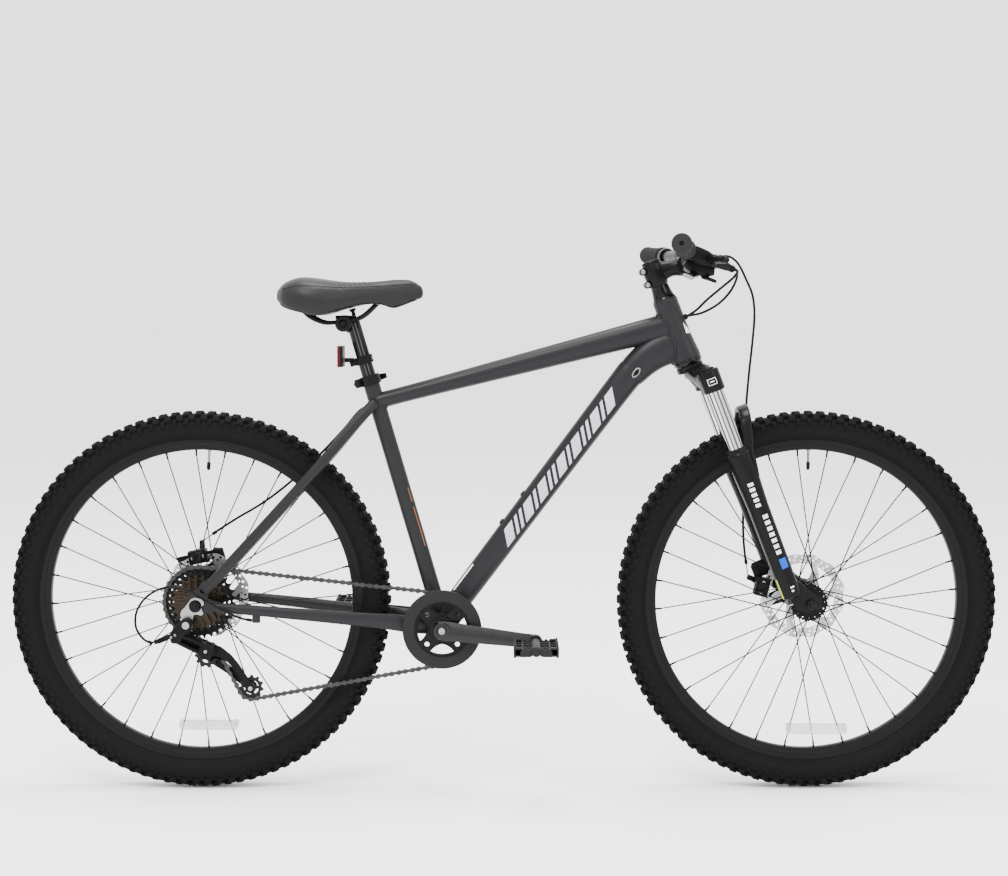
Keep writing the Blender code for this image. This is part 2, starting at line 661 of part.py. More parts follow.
def make_hub(name, centre, profile, flanges, bore):
    """A hub shell with 32 spokes laced three cross. flanges holds (y, hole circle radius) twice."""
    hub = turned(name + "_hub", [(bore, profile[0][1])] + profile + [(bore, profile[-1][1])], centre, Y, BLACK, 16)
    spokes = []
    per_side = SPOKES // 2
    cross = 3 * math.tau / per_side
    for number in range(SPOKES):
        flange_y, hole_r = flanges[number % 2]
        rim_angle = (number + 0.5) * math.tau / SPOKES
        lead = 1 if number // 2 % 2 else -1
        hub_angle = rim_angle + lead * cross
        spokes.append(spoke(centre, hole_r, flange_y + lead * 1.7, hub_angle, rim_angle, BLACK))
    hang(name + "_wheel", join(hub, *spokes))


def make_rotor(name, centre, y):
    """A disc with a ring of openings between its brake track and its centre."""
    disc = pipe(name + "_rotor", ROTOR_R, 19, centre + Y * (y - 0.9), centre + Y * (y + 0.9), STEEL, 24)
    holes = []
    for k in range(6):
        angle = k * math.tau / 6
        at = centre + Vector((math.cos(angle), 0, math.sin(angle))) * 47
        holes.append(rod("hole", 15, at + Y * (y - 5), at + Y * (y + 5), STEEL, 6))
    hang(name + "_wheel", cut(disc, *holes))


def make_front_wheel():
    make_tyre_and_rim("front", FRONT)
    profile = [(8, -49.5), (9, -40), (34, -38), (34, -32), (14, -24), (14, 16), (29, 20), (29, 25), (17.5, 28),
               (17.5, 41), (8, 43), (8, 49.5)]
    make_hub("front", FRONT, profile, [(-35, 29), (22.5, 25)], 5.3)
    make_rotor("front", FRONT, 39.5)
    axle = rod("front_axle", 4.5, FRONT - Y * 70, FRONT + Y * 70, STEEL, 12)
    nuts = [rod("nut", 9.5, FRONT + Y * side * 58.4, FRONT + Y * side * 66, STEEL, 6) for side in (-1, 1)]
    hang("lowers", join(axle, *nuts))


def make_rear_wheel():
    make_tyre_and_rim("rear", REAR)
    profile = [(9, -66.5), (9, -24), (27, -22), (27, -17.5), (15, -12), (15, 25), (29, 30), (29, 35), (17.5, 38),
               (17.5, 54), (9, 56), (9, 66.5)]
    make_hub("rear", REAR, profile, [(-19.8, 23.5), (32.5, 25)], 5.6)
    make_rotor("rear", REAR, 52)
    axle = rod("rear_axle", 4.8, REAR - Y * 88, REAR + Y * 84, STEEL, 12)
    outer = {-1: 77.6, 1: DROPOUT_IN + 6 + GAP}
    nuts = [rod("nut", 9.5, REAR + Y * side * outer[side], REAR + Y * side * (outer[side] + 8), STEEL, 6)
            for side in (-1, 1)]
    hang("frame", join(axle, *nuts))


# ---------------------------------------------------------------- drivetrain


def make_freewheel():
    """Eight sprockets as steps down to their root circles, smallest outside."""
    profile = [(9.6, COG_Y + 1)]
    for number, teeth in enumerate(COGS):
        root = pitch_radius(teeth) - ROOT_DEPTH
        y = COG_Y + number * COG_STEP
        profile += [(root, y + 1), (root, y + 1 + COG_STEP)]
    profile.append((9.6, profile[-1][1]))
    hang("freewheel", turned("freewheel", profile, REAR, Y, COG, 20))


def windows(centre, radius, size, y, look):
    """Four lens-shaped cutters set above, below, ahead of and behind a centre."""
    cutters = []
    for k in range(4):
        angle = k * math.tau / 4
        out = Vector((math.cos(angle), 0, math.sin(angle)))
        across = Vector((-out.z, 0, out.x))
        shape = [(-1, 0), (-0.6, 0.75), (0, 1), (0.6, 0.75), (1, 0), (0.6, -0.3), (0, -0.42), (-0.6, -0.3)]
        points = [centre + out * (radius + size[1] * v) + across * size[0] * u for u, v in shape]
        cutters.append(plate("window", [(p.x, p.z) for p in points], y - 20, y + 20, look))
    return cutters


def make_crankset():
    root = pitch_radius(RING_TEETH) - ROOT_DEPTH
    ring = turned("chainring", [(16, RING_Y + 1), (root, RING_Y + 1), (root, RING_Y - 1), (58, RING_Y - 1),
                                (58, RING_Y - 5), (72, RING_Y - 5), (72, RING_Y - 8), (16, RING_Y - 8)],
                  BB, Y, PLASTIC, 24)
    ring = cut(ring, *windows(BB, 41, (25, 12), RING_Y, PLASTIC))
    hang("crankset", ring)

    for name, side in (("crank_right", -1), ("crank_left", 1)):
        out = CRANK_DIR if side < 0 else -CRANK_DIR
        eye = BB + out * CRANK
        arm = sweep(name, [BB + Y * side * 66, BB + out * 30 + Y * side * 68, BB + out * 140 + Y * side * 76,
                           eye + Y * side * 77],
                    [(7, 15), (6.5, 12), (6, 10.5), (6, 11)], BLACK, SOFT_BOX, Y)
        boss = rod("boss", 15.4, BB + Y * side * 42, BB + Y * side * 74, BLACK, 12)
        end = rod("end", 13, eye + Y * side * 70, eye + Y * side * 83, BLACK, 12)
        pedal_bore = rod("pedal_bore", 7.2, eye + Y * side * 60, eye + Y * side * 100, BLACK, 12)
        crank = join(arm, boss, end)
        if side > 0:
            spindle = rod("spindle", 8.6, BB - Y * 62, BB + Y * 60, BLACK, 12)
            hang("crankset", join(cut(crank, pedal_bore), spindle))
        else:
            socket = rod("socket", 8.9, BB, BB - Y * 62.5, BLACK, 12)
            hang("crankset", cut(crank, pedal_bore, socket))


def make_pedals():
    for name, side in (("right", -1), ("left", 1)):
        eye = BB + (CRANK_DIR if side < 0 else -CRANK_DIR) * CRANK
        axle = rod("pedal_" + name, 6.3, eye + Y * side * 72, eye + Y * side * 180, BLACK, 8)
        collar = rod("collar", 9.5, eye + Y * side * 84, eye + Y * side * 96, BLACK, 8)
        middle = eye + Y * side * 134
        platform = block("platform", middle, (40, 44, 11), BLACK, X, Z)
        core = [block("core", middle + X * end * 23.5, (10.5, 36, 30), BLACK, X, Z) for end in (-1, 1)]
        tube = block("tube", middle, (11, 40, 9.5), BLACK, X, Z)
        cage = join(cut(platform, *core), tube)
        hang("pedal_" + name, join(axle, collar, cage))


def belt(circles):
    """The closed line round circles of (centre, radius, sense), with a sense of 1 for anticlockwise."""
    points = []
    lines = []
    for (one, r1, s1), (two, r2, s2) in zip(circles, circles[1:] + circles[:1]):
        gap = two - one
        flat = math.hypot(gap.x, gap.z)
        angle = math.atan2(gap.z, gap.x) - math.asin((s2 * r2 - s1 * r1) / flat)
        left = Vector((-math.sin(angle), 0, math.cos(angle)))
        lines.append((one - left * s1 * r1, two - left * s2 * r2))
    for index, (centre, radius, sense) in enumerate(circles):
        arrive, leave = lines[index - 1][1] - centre, lines[index][0] - centre
        start = math.atan2(arrive.z, arrive.x)
        turn = (math.atan2(leave.z, leave.x) - start) * sense % math.tau
        steps = max(2, math.ceil(turn / math.radians(18)))
        for k in range(steps + 1):
            angle = start + sense * turn * k / steps
            points.append(centre + Vector((radius * math.cos(angle), 0, radius * math.sin(angle))))
    return points


def make_chain():
    ring = Vector((BB.x, RING_Y, BB.z))
    cog = Vector((REAR.x, COG_Y, REAR.z))
    route = belt([(ring, pitch_radius(RING_TEETH), -1), (TENSION, pitch_radius(PULLEY_TEETH), -1),
                  (GUIDE, pitch_radius(PULLEY_TEETH), 1), (cog, pitch_radius(COGS[0]), -1)])
    chain = sweep("chain", route, (3.2, 4.0), STEEL, SQUARE, Y, closed=True)
    hang("frame", chain)


def make_derailleur():
    hanger = [(12, 12), (18, -2), (12, -14), (-4, -16), (-6, -40), (-22, -42), (-26, -24), (-18, 6), (-4, 14)]
    outline = [(REAR.x + x, REAR.z + z) for x, z in hanger]
    claw = plate("derailleur_hanger", outline, -77.3, -74, STEEL)
    hole = rod("hole", 5.8, REAR - Y * 60, REAR - Y * 90, STEEL, 12)
    hang("frame", cut(claw, hole))

    bolt = HANGER_BOLT
    knuckle = rod("derailleur_body", 12, bolt - Y * 77.6, bolt - Y * 94, BLACK, 12)
    arm = sweep("arm", [bolt - Y * 90, (-586, -90, 304), (-598, -90, 298)], [(7, 11), (7, 10), (7, 9)], BLACK,
                SOFT_BOX, Y)
    barrel = rod("barrel", 5, (-594, -91, 299), (-628, -95, 285.5), BLACK, 8)
    room = rod("room", 8.5, LINK_PIVOT - LINK_AXIS * 14, LINK_PIVOT + LINK_AXIS * 9, BLACK, 12)
    hang("frame", cut(join(knuckle, arm, barrel), room))

    link = sweep("derailleur_link", [LINK_PIVOT, LINK_PIVOT.lerp(KNUCKLE_PIVOT, 0.5), KNUCKLE_PIVOT],
                 [(7, 6), (8, 6), (7, 6)], BLACK, SOFT_BOX, LINK_AXIS)
    hang("derailleur_link", link)

    middle = Vector((KNUCKLE_PIVOT.x, 0, KNUCKLE_PIVOT.z))
    knuckle = rod("derailleur_knuckle", 14, middle - Y * 43, middle - Y * 67, BLACK, 12)
    rooms = []
    for turn in (0, -11, -22, LINK_TRAVEL):
        back = Matrix.Rotation(math.radians(turn), 3, LINK_AXIS) @ (LINK_PIVOT - KNUCKLE_PIVOT).normalized()
        rooms.append(block("room", KNUCKLE_PIVOT + back * 11.5, (19, 7, 7.5), BLACK, back, LINK_AXIS))
    hang("derailleur_knuckle", cut(knuckle, *rooms))

    outer = sweep("derailleur_cage", [middle + Y * -40, (-520, -40, 262), (-490, -40, 238), TENSION - Y * 11],
                  [(1.5, 13), (1.5, 9), (1.5, 8), (1.5, 11)], BLACK, SOFT_BOX, Y)
    inner = sweep("inner", [GUIDE + Y * 7.5, GUIDE.lerp(TENSION, 0.5) + Y * 7.5, TENSION + Y * 7.5],
                  [(1.2, 11), (1.2, 8), (1.2, 11)], BLACK, SOFT_BOX, Y)
    pins = [rod("pin", 3, GUIDE - Y * 12, GUIDE + Y * 8, BLACK, 8),
            rod("pin", 3, TENSION - Y * 12, TENSION + Y * 8, BLACK, 8)]
    hang("derailleur_cage", join(outer, inner, *pins))
    root = pitch_radius(PULLEY_TEETH) - ROOT_DEPTH
    for name, at in (("guide_pulley", GUIDE), ("tension_pulley", TENSION)):
        hang(name, pipe(name, root, 3.5, at - Y * 3, at + Y * 3, BLACK, 12))


# ---------------------------------------------------------------- brakes and cables


def caliper(name, at, disc_y, axle, rise, look):
    """A caliper body astride its disc, built out from the wheel's axle, and a bracket that lies along `rise`."""
    out = Vector((at.x - axle.x, 0, at.z - axle.z)).normalized()
    along = Y.cross(out)
    centre = Vector((at.x, disc_y, at.z))
    shell = block(name, centre, (13, 12, 18), look, out, along)
    bracket = block("bracket", centre + Y * 9.5, (6, 3.5, 42), look, Y.cross(rise), rise)
    round_back = rod("back", 13, centre + Y * 12, centre + Y * 19, look, 12)
    slot = block("slot", centre - out * 20, (30, 2.2, 60), look, out, along)
    return cut(join(shell, bracket, round_back), slot), centre, out, along


def make_calipers():
    level = Vector((0.978, 0, 0.21))
    specs = (("rear", Vector((-572, 0, 421)), 52, REAR, level, "frame"),
             ("front", Vector((481, 0, 366.7)), 39.5, FRONT, STEER_UP, "lowers"))
    for name, at, disc_y, axle, rise, holder in specs:
        shell, centre, out, along = caliper(name + "_caliper", at, disc_y, axle, rise, BLACK)
        hang(holder, shell)
        pivot = centre + Y * 22.5
        arm = sweep(name + "_brake_arm", [pivot, pivot + out * 12 + along * 6, pivot + out * 26 + along * 9],
                    [(2.5, 7), (2.5, 5.5), (2.5, 5)], BLACK, SOFT_BOX, Y)
        disc = rod("disc", 9, centre + Y * 19.4, centre + Y * 25, BLACK, 12)
        hang(name + "_brake_arm", join(arm, disc))


FRONT_BRAKE_ROUTE = [(410, 136, 982), (420, 129, 983), (431, 122, 979), (443, 116, 966), (456, 112, 939),
                     (468, 107, 908), (471, 101, 870), (467, 97, 820), (461, 94, 763), (456, 92, 700),
                     (453, 91, 610), (452, 90, 520), (452, 86, 450), (452, 78, 404)]
REAR_BRAKE_ROUTE = [(407, -136, 949), (402, -118, 938), (386, -92, 922), (364, -54, 900), (349, -22, 882)]
SHIFT_ROUTE = [(368, -116, 955), (384, -106, 957), (400, -97, 957), (412, -86, 951), (414, -70, 937),
               (406, -50, 915), (388, -28, 893), (362, -8, 877)]
REAR_SHIFT_ROUTE = [(-456, -66, 321), (-477, -72, 327), (-505, -82, 342), (-535, -91, 362), (-560, -95, 378),
                    (-588, -98, 388), (-618, -100, 383), (-643, -100, 366), (-658, -99, 341), (-659, -98, 314),
                    (-646, -97, 293), (-630, -95.4, 284.6)]
REAR_BRAKE_STAY = [(-560, 76, 452), (-533, 74, 471), (-500, 72, 492), (-450, 70, 522), (-398, 67, 562),
                   (-345, 60, 611), (-300, 51, 658), (-262, 39, 702)]


def make_cables():
    port_at = steer(73.6, 24)
    port = rod("bar_cables", 6.5, port_at, port_at + STEER_FWD * 9, BLACK, 8)
    entry = port_at + STEER_FWD * 5
    housings = []
    for route in (REAR_BRAKE_ROUTE, SHIFT_ROUTE):
        housings.append(as_mesh(cable("housing", [*route, entry], 2.5, BLACK)))
    hang("frame", join(port, *housings))
    hang("steering", cable("front_brake_cable", FRONT_BRAKE_ROUTE, 2.5, BLACK))
    hang("frame", cable("rear_shift_cable", REAR_SHIFT_ROUTE, 2.2, BLACK, 14.0))
    hang("frame", cable("rear_brake_cable", REAR_BRAKE_STAY, 2.5, BLACK))


# ---------------------------------------------------------------- build

for old in list(bpy.data.objects):
    bpy.data.objects.remove(old)

PAINT = paint("frame_paint", (0.048, 0.048, 0.052), 0.5)
BLACK = paint("black_metal", (0.018, 0.018, 0.019), 0.35)
PLASTIC = paint("black_plastic", (0.022, 0.022, 0.023), 0.5)
RUBBER = paint("tyre_rubber", (0.028, 0.028, 0.029), 0.85)
RIM = paint("rim_black", (0.03, 0.03, 0.03), 0.45, 0.3)
HIDE = paint("saddle_vinyl", (0.04, 0.04, 0.042), 0.6)
STEEL = paint("steel", (0.35, 0.35, 0.36), 0.35, 1.0)
CHROME = paint("chrome", (0.8, 0.8, 0.82), 0.08, 1.0)
COG = paint("sprocket_bronze", (0.12, 0.09, 0.07), 0.45, 0.8)
RED = paint("reflector_red", (0.5, 0.02, 0.02), 0.25)

PEDAL_EYE = BB + CRANK_DIR * CRANK
AXES = {
    "frame": BB,
    "seat_lever": seat(470, -24, 18),
    "seatpost": seat(470),
    "saddle": CLAMP,
    "steering": HEAD_LOW,
    "brake_lever_right": lever_pivot(-1),
    "brake_lever_left": lever_pivot(1),
    "shift_lever": SHIFT_PIVOT,
    "release_lever": RELEASE_PIVOT,
    "lowers": steer(SEAL, LEG_FORWARD),
    "front_wheel": FRONT,
    "front_brake_arm": Vector((481, 62, 366.7)),
    "rear_wheel": REAR,
    "rear_brake_arm": Vector((-572, 74.5, 421)),
    "freewheel": REAR,
    "crankset": BB,
    "pedal_right": PEDAL_EYE - Y * 134,
    "pedal_left": BB * 2 - PEDAL_EYE + Y * 134,
    "derailleur_link": LINK_PIVOT,
    "derailleur_knuckle": KNUCKLE_PIVOT,
    "derailleur_cage": Vector((KNUCKLE_PIVOT.x, -40, KNUCKLE_PIVOT.z)),
    "guide_pulley": GUIDE,
    "tension_pulley": TENSION,
}
for body_name, axis_point in AXES.items():
    body(body_name, axis_point)

make_frame()
make_headset()
make_seat_clamp()
make_seatpost()
make_saddle()
make_crown()
make_lowers()
make_stem()
make_bar()
make_brake_controls()
make_shifter()
make_front_wheel()
make_rear_wheel()
make_freewheel()
make_crankset()
make_pedals()
make_chain()
make_derailleur()
make_calipers()
make_cables()
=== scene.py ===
"""The looks of the hardtail mountain bike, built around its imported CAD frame.

Lengths are written in millimetres, in the CAD's own frame: X runs forward, Y to the rider's left
and Z up, from the ground midway between the wheels' contacts.
"""

import math

import bmesh
import bpy
from mathutils import Matrix, Vector
from mathutils.bvhtree import BVHTree


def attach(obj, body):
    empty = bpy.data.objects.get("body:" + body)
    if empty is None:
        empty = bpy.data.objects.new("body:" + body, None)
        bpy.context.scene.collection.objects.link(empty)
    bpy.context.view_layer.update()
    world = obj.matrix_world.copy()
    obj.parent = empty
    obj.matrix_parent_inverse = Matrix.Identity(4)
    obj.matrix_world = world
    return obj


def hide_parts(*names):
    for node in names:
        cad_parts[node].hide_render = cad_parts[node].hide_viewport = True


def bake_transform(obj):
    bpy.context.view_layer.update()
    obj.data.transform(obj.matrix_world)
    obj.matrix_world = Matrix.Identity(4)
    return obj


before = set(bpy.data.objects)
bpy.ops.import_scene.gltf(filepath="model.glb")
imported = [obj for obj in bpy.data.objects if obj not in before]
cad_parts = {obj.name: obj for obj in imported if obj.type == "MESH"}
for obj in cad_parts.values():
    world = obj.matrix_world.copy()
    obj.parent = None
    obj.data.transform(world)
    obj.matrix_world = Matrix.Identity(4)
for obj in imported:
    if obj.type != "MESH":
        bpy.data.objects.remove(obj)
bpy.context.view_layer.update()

MM = 0.001
MERGE = 1e-6

# Wheels
WHEELBASE = 1113.0
TYRE_R = 349.0
TREAD_ROWS = 96
RIM_IN = 277.0
SPOKES = 32
SPOKE_R = 1.15
SPOKE_PHASE = {"front": math.radians(3.8), "rear": math.radians(1.7)}
VALVE_AT = {"front": math.radians(89.7), "rear": math.radians(86.6)}
ROTOR_R = 80.0

# Frame
BB = Vector((-112.5, 0, 302.5))
SHELL_HALF = 36.5
SEAT_LEAN = math.radians(16.3)
SEAT_TUBE = 476.0
HEAD_LEAN = math.radians(21.0)
HEAD_TUBE = 115.0
HEAD_LOW = Vector((334.0, 0, 791.5))
STAY_END = 70.0
DROPOUT_IN = 67.5
COLLAR_AT, REFLECTOR_AT = 470, 508
CLAMP = Vector((-291.0, 0, 857.0))
DOWN_LOW, DOWN_HIGH = (-76.6, 0, 356.7), (195.3, 0, 720.5)

# Saddle: (length, half width, top, skirt) along it, and its section as shares of half width and height
SADDLE = [(-412, 30, 918, 897), (-396, 58, 933, 884), (-366, 74, 941, 875), (-330, 76, 938, 870),
          (-290, 60, 932.5, 881), (-250, 39, 932, 890), (-222, 31, 934, 889), (-203, 28, 936, 883),
          (-188, 25, 936.5, 886), (-165, 20, 935, 895), (-146, 10, 923, 902)]
SADDLE_TOP = [(-1, 0.35), (-0.97, 0.55), (-0.88, 0.74), (-0.72, 0.87), (-0.5, 0.95), (-0.25, 0.985), (0, 1.0),
              (0.25, 0.985), (0.5, 0.95), (0.72, 0.87), (0.88, 0.74), (0.97, 0.55), (1, 0.35)]
SADDLE_UNDER = [(0.97, 0.12), (0.93, 0), (0.4, 0), (-0.4, 0), (-0.93, 0), (-0.97, 0.12)]
SADDLE_RIM = 2.5
PADDING_SHRINK = 0.985
VOXEL = 5
SWELL_PRESSURE, SWELL_FRAMES, SWELL_LIMIT = 4, 20, 1.1

# Fork
LEG_Y = 65.0
LEG_FORWARD = 21.0
STANCHION_R = 15.0
SEAL = -177.0
LEG_TAPER = [(SEAL - 14, 22.6), (SEAL - 40, 22.4), (SEAL - 62, 21.8), (-268, 20.2), (-292, 19.2),
             (-350, 18.8), (-440, 18.3), (-458, 18.0)]

# Drive
CRANK = 170.0
CRANK_TILT = math.radians(-6.0)
PEDAL_OUT = 134
PITCH = 12.7
ROLLER_R = 3.9
RING_TEETH = 32
RING_Y = -48.0
COGS = (32, 28, 24, 21, 19, 17, 15, 13)
COG_Y, COG_STEP = -29.0, -4.8
PULLEY_TEETH = 11
# A crank arm's section, with the upper part of its outer face sloping back
ARM = [(-0.82, -1), (-1, -0.86), (-1, -0.2), (-0.95, -0.06), (0.1, 0.92), (0.25, 1), (0.82, 1), (1, 0.86),
       (1, -0.86), (0.82, -1)]

# Handlebar
BAR = Vector((334.0, 0, 964.0))
GRIP_IN = 212.0
LEVER_SLOPE = {-1: math.radians(20.0), 1: math.radians(2.0)}
LEVER_AT, LEVER_REACH = 187, 42
SHIFT_PIVOT = Vector((331.0, -150.0, 943.5))
RELEASE_PIVOT = Vector((349.0, -152.0, 938.0))

# Studio: the floor and the camera's place in metres, the lens in millimetres
FLOOR_HALF, FLOOR_GAP = 200, 0.0006
LENS, CAMERA_DIP = 62.57, math.radians(4.28)
CAMERA_AT = (0, -3.202, 0.887)

# Housings, from the lever or stop to the far end
HOUSING_R = 2.4
FRONT_BRAKE_ROUTE = [(404, 142, 980.3), (410, 137, 981), (420, 129, 983), (431, 122, 979), (443, 116, 966),
                     (456, 112, 939), (468, 107, 908), (471, 101, 870), (467, 97, 820), (461, 94, 763),
                     (456, 92, 700), (453, 91, 610), (452, 90, 520), (452, 87, 464), (454, 81, 428),
                     (457, 76, 403)]
REAR_BRAKE_ROUTE = [(398, -142.4, 952.3), (407, -136, 949), (402, -118, 938), (386, -92, 922),
                    (364, -54, 900), (349, -22, 882)]
SHIFT_ROUTE = [(357, -132, 953.9), (368.5, -116.3, 955.5), (384, -106, 957), (400, -97, 957), (412, -86, 951),
               (414, -70, 937), (406, -50, 915), (388, -28, 893), (362, -8, 877)]
REAR_SHIFT_ROUTE = [(-456, -66, 321), (-477, -72, 327), (-505, -82, 342), (-535, -91, 362), (-560, -95, 378),
                    (-588, -98, 388), (-618, -100, 383), (-643, -100, 366), (-658, -99, 341),
                    (-659, -98, 314), (-646, -97, 293), (-630, -95.4, 284.6)]
REAR_BRAKE_STAY = [(-549, 75, 460), (-530, 74, 473), (-500, 72, 492), (-450, 70, 522), (-398, 67, 562),
                   (-345, 60, 611), (-300, 51, 658), (-268, 40, 695), (-247, 21, 706)]

SIDES = (("right", -1), ("left", 1))
X, Y, Z = Vector((1, 0, 0)), Vector((0, 1, 0)), Vector((0, 0, 1))
REAR = Vector((-WHEELBASE / 2, 0, TYRE_R))
FRONT = Vector((WHEELBASE / 2, 0, TYRE_R))
SEAT_UP = Vector((-math.sin(SEAT_LEAN), 0, math.cos(SEAT_LEAN)))
SEAT_FWD = Vector((math.cos(SEAT_LEAN), 0, math.sin(SEAT_LEAN)))
STEER_UP = Vector((-math.sin(HEAD_LEAN), 0, math.cos(HEAD_LEAN)))
STEER_FWD = Vector((math.cos(HEAD_LEAN), 0, math.sin(HEAD_LEAN)))
CRANK_DIR = Vector((math.cos(CRANK_TILT), 0, math.sin(CRANK_TILT)))
HANGER_BOLT = Vector((-571.0, 0, 317.0))
LINK_PIVOT = Vector((-586.0, -82.0, 293.0))
KNUCKLE_PIVOT = Vector((-541.0, -56.0, 264.0))
GUIDE = Vector((-544.0, COG_Y, 250.0))
TENSION = Vector((-464.0, COG_Y, 191.0))
LINK_AXIS = Vector((0.5547, 0, 0.832))


def steer(along, forward, side=0.0):
    """A point measured up the steering axis from the head tube's lower end, then forward of it."""
    return HEAD_LOW + STEER_UP * along + STEER_FWD * forward + Y * side


def seat(along, forward=0.0, side=0.0):
    """A point measured up the seat tube from the bottom bracket, then forward of it."""
    return BB + SEAT_UP * along + SEAT_FWD * forward + Y * side


def bar_point(side):
    """The handlebar's centre line in its straight, swept outer part."""
    out = abs(side) - 105
    return Vector((325 - out * 36 / 233, side, 980 + out * 10 / 233))


def lever_axes(side):
    """A brake lever's direction forward from the bar, and its pivot's direction."""
    slope = LEVER_SLOPE[side]
    return Vector((math.cos(slope), 0, -math.sin(slope))), Vector((math.sin(slope), 0, math.cos(slope)))


def lever_pivot(side):
    """The centre of a brake lever's pivot."""
    return bar_point(side * LEVER_AT) + lever_axes(side)[0] * LEVER_REACH


def pitch_radius(teeth):
    """The radius of the circle on which the chain's pins lie round a sprocket."""
    return PITCH / 2 / math.sin(math.pi / teeth)


def polar(centre, radius, angle, y=0.0):
    """A point on a circle about a wheel's centre, seen from the right-hand side."""
    return Vector((centre.x + radius * math.cos(angle), y, centre.z + radius * math.sin(angle)))


def ellipse(sides):
    """A round section of half size one."""
    return [(math.cos(k * math.tau / sides), math.sin(k * math.tau / sides)) for k in range(sides)]


def soft_box(corner=0.45, steps=4):
    """A square section of half size one with round corners."""
    points = []
    for quarter in range(4):
        turn = quarter * math.pi / 2
        middle = Vector((1 - corner, 1 - corner, 0))
        for k in range(steps + 1):
            angle = k * math.pi / 2 / steps
            spot = middle + Vector((math.cos(angle), math.sin(angle), 0)) * corner
            spot = Matrix.Rotation(turn, 3, "Z") @ spot
            points.append((spot.x, spot.y))
    return points


TUBE = ellipse(40)
BOXY = soft_box()


# ---------------------------------------------------------------- shapes
# A shape is a pair of lists, points in millimetres and faces. A piece is made of one or more shapes.


def spline(route, parts):
    """A smooth curve through points, cut into short straight runs."""
    ends = [route[0] * 2 - route[1]] + route + [route[-1] * 2 - route[-2]]
    fine = []
    for i in range(1, len(ends) - 2):
        a, b, c, d = ends[i - 1 : i + 3]
        for k in range(parts):
            t = k / parts
            fine.append(0.5 * (2 * b + (c - a) * t + (2 * a - 5 * b + 4 * c - d) * t**2
                               + (3 * b - a - 3 * c + d) * t**3))
    return fine + route[-1:]


def even(line, step, closed=False):
    """Points at an even step along a line of short straight runs."""
    line = line + line[:1] if closed else line
    lengths = [0.0]
    for one, two in zip(line, line[1:]):
        lengths.append(lengths[-1] + (two - one).length)
    count = max(2, round(lengths[-1] / step))
    points, i = [], 1
    for n in range(count if closed else count + 1):
        want = lengths[-1] * n / count
        while lengths[i] < want - 1e-9:
            i += 1
        share = (want - lengths[i - 1]) / (lengths[i] - lengths[i - 1])
        points.append(line[i - 1].lerp(line[i], share))
    return points


def flow(path, sizes, parts=6):
    """A path and its section sizes made finer together, along a smooth curve through both."""
    wide = spline([Vector((size[0], size[1], 0)) for size in sizes], parts)
    return spline([Vector(point) for point in path], parts), [(size.x, size.y) for size in wide]


def skin(rings, closed=False):
    """A surface over rings of equally many points, capped at both ends or closed on itself."""
    count = len(rings[0])
    points = [Vector(point) for ring in rings for point in ring]
    faces = []
    for i in range(len(rings) if closed else len(rings) - 1):
        low, high = i * count, (i + 1) % len(rings) * count
        for k in range(count):
            after = (k + 1) % count
            faces.append((low + k, low + after, high + after, high + k))
    if not closed:
        faces.append(tuple(range(count)))
        faces.append(tuple(range(len(points) - count, len(points))))
    return points, faces


def rings_along(path, sizes, section, side=None, closed=False):
    """Sections square to a path. side holds their first direction, so that they don't twist."""
    path = [Vector(point) for point in path]
    if isinstance(sizes[0], (int, float)):
        sizes = [sizes] * len(path)
    across = Vector(side) if side else None
    rings = []
    for i, point in enumerate(path):
        before = path[i - 1] if closed or i else point
        after = path[(i + 1) % len(path)] if closed or i + 1 < len(path) else point
        along = (after - before).normalized()
        across = Vector(side) if side else across or along.orthogonal()
        across = (across - along * across.dot(along)).normalized()
        up = along.cross(across)
        wide, high = sizes[i]
        rings.append([point + across * wide * u + up * high * v for u, v in section])
    return rings


def sweep(path, sizes, section=TUBE, side=None, closed=False):
    """A section carried along a path."""
    return skin(rings_along(path, sizes, section, side, closed), closed)


def swell(path, sizes, section=TUBE, side=None, parts=6):
    """A sweep whose path and sizes run through the given ones in a smooth curve."""
    return sweep(*flow(path, sizes, parts), section, side)


def wire(route, radius, step=4.0, sides=10):
    """A round cable along a smooth curve through a route's points."""
    line = even(spline([Vector(point) for point in route], 12), step)
    return sweep(line, [(radius, radius)] * len(line), ellipse(sides))


def lathe(profile, centre, axis, sides=48):
    """A profile of (radius, height) turned about an axis. It closes on itself unless it ends on the axis."""
    axis = Vector(axis).normalized()
    first = X if abs(axis.y) > 0.9 else Y
    first = (first - axis * first.dot(axis)).normalized()
    second = axis.cross(first)
    points, rows = [], []
    for radius, height in profile:
        base = Vector(centre) + axis * height
        turns = 1 if radius == 0 else sides
        rows.append(list(range(len(points), len(points) + turns)))
        for k in range(turns):
            angle = (k + 0.5) * math.tau / sides
            points.append(base + (first * math.cos(angle) + second * math.sin(angle)) * radius)
    ring = profile[0][0] > 0 and profile[-1][0] > 0
    faces = []
    for i in range(len(rows) if ring else len(rows) - 1):
        low, high = rows[i], rows[(i + 1) % len(rows)]
        for k in range(sides):
            after = (k + 1) % sides
            corners = [low[k % len(low)], low[after % len(low)], high[after % len(high)], high[k % len(high)]]
            faces.append(tuple(dict.fromkeys(corners)))
    return points, faces


def rod(radius, start, end, sides=32, ease=0.6):
    """A solid cylinder between two points with eased ends."""
    start, end = Vector(start), Vector(end)
    length = (end - start).length
    ease = min(ease, radius / 3, length / 3)
    profile = [(0, 0), (radius - ease, 0), (radius, ease), (radius, length - ease), (radius - ease, length),
               (0, length)]
    return lathe(profile, start, end - start, sides)


def pipe(radius, bore, start, end, sides=40, ease=0.4):
    """A cylinder with a hole through it and eased outer rims."""
    start, end = Vector(start), Vector(end)
    length = (end - start).length
    profile = [(bore, 0), (radius - ease, 0), (radius, ease), (radius, length - ease),
               (radius - ease, length), (bore, length)]
    return lathe(profile, start, end - start, sides)


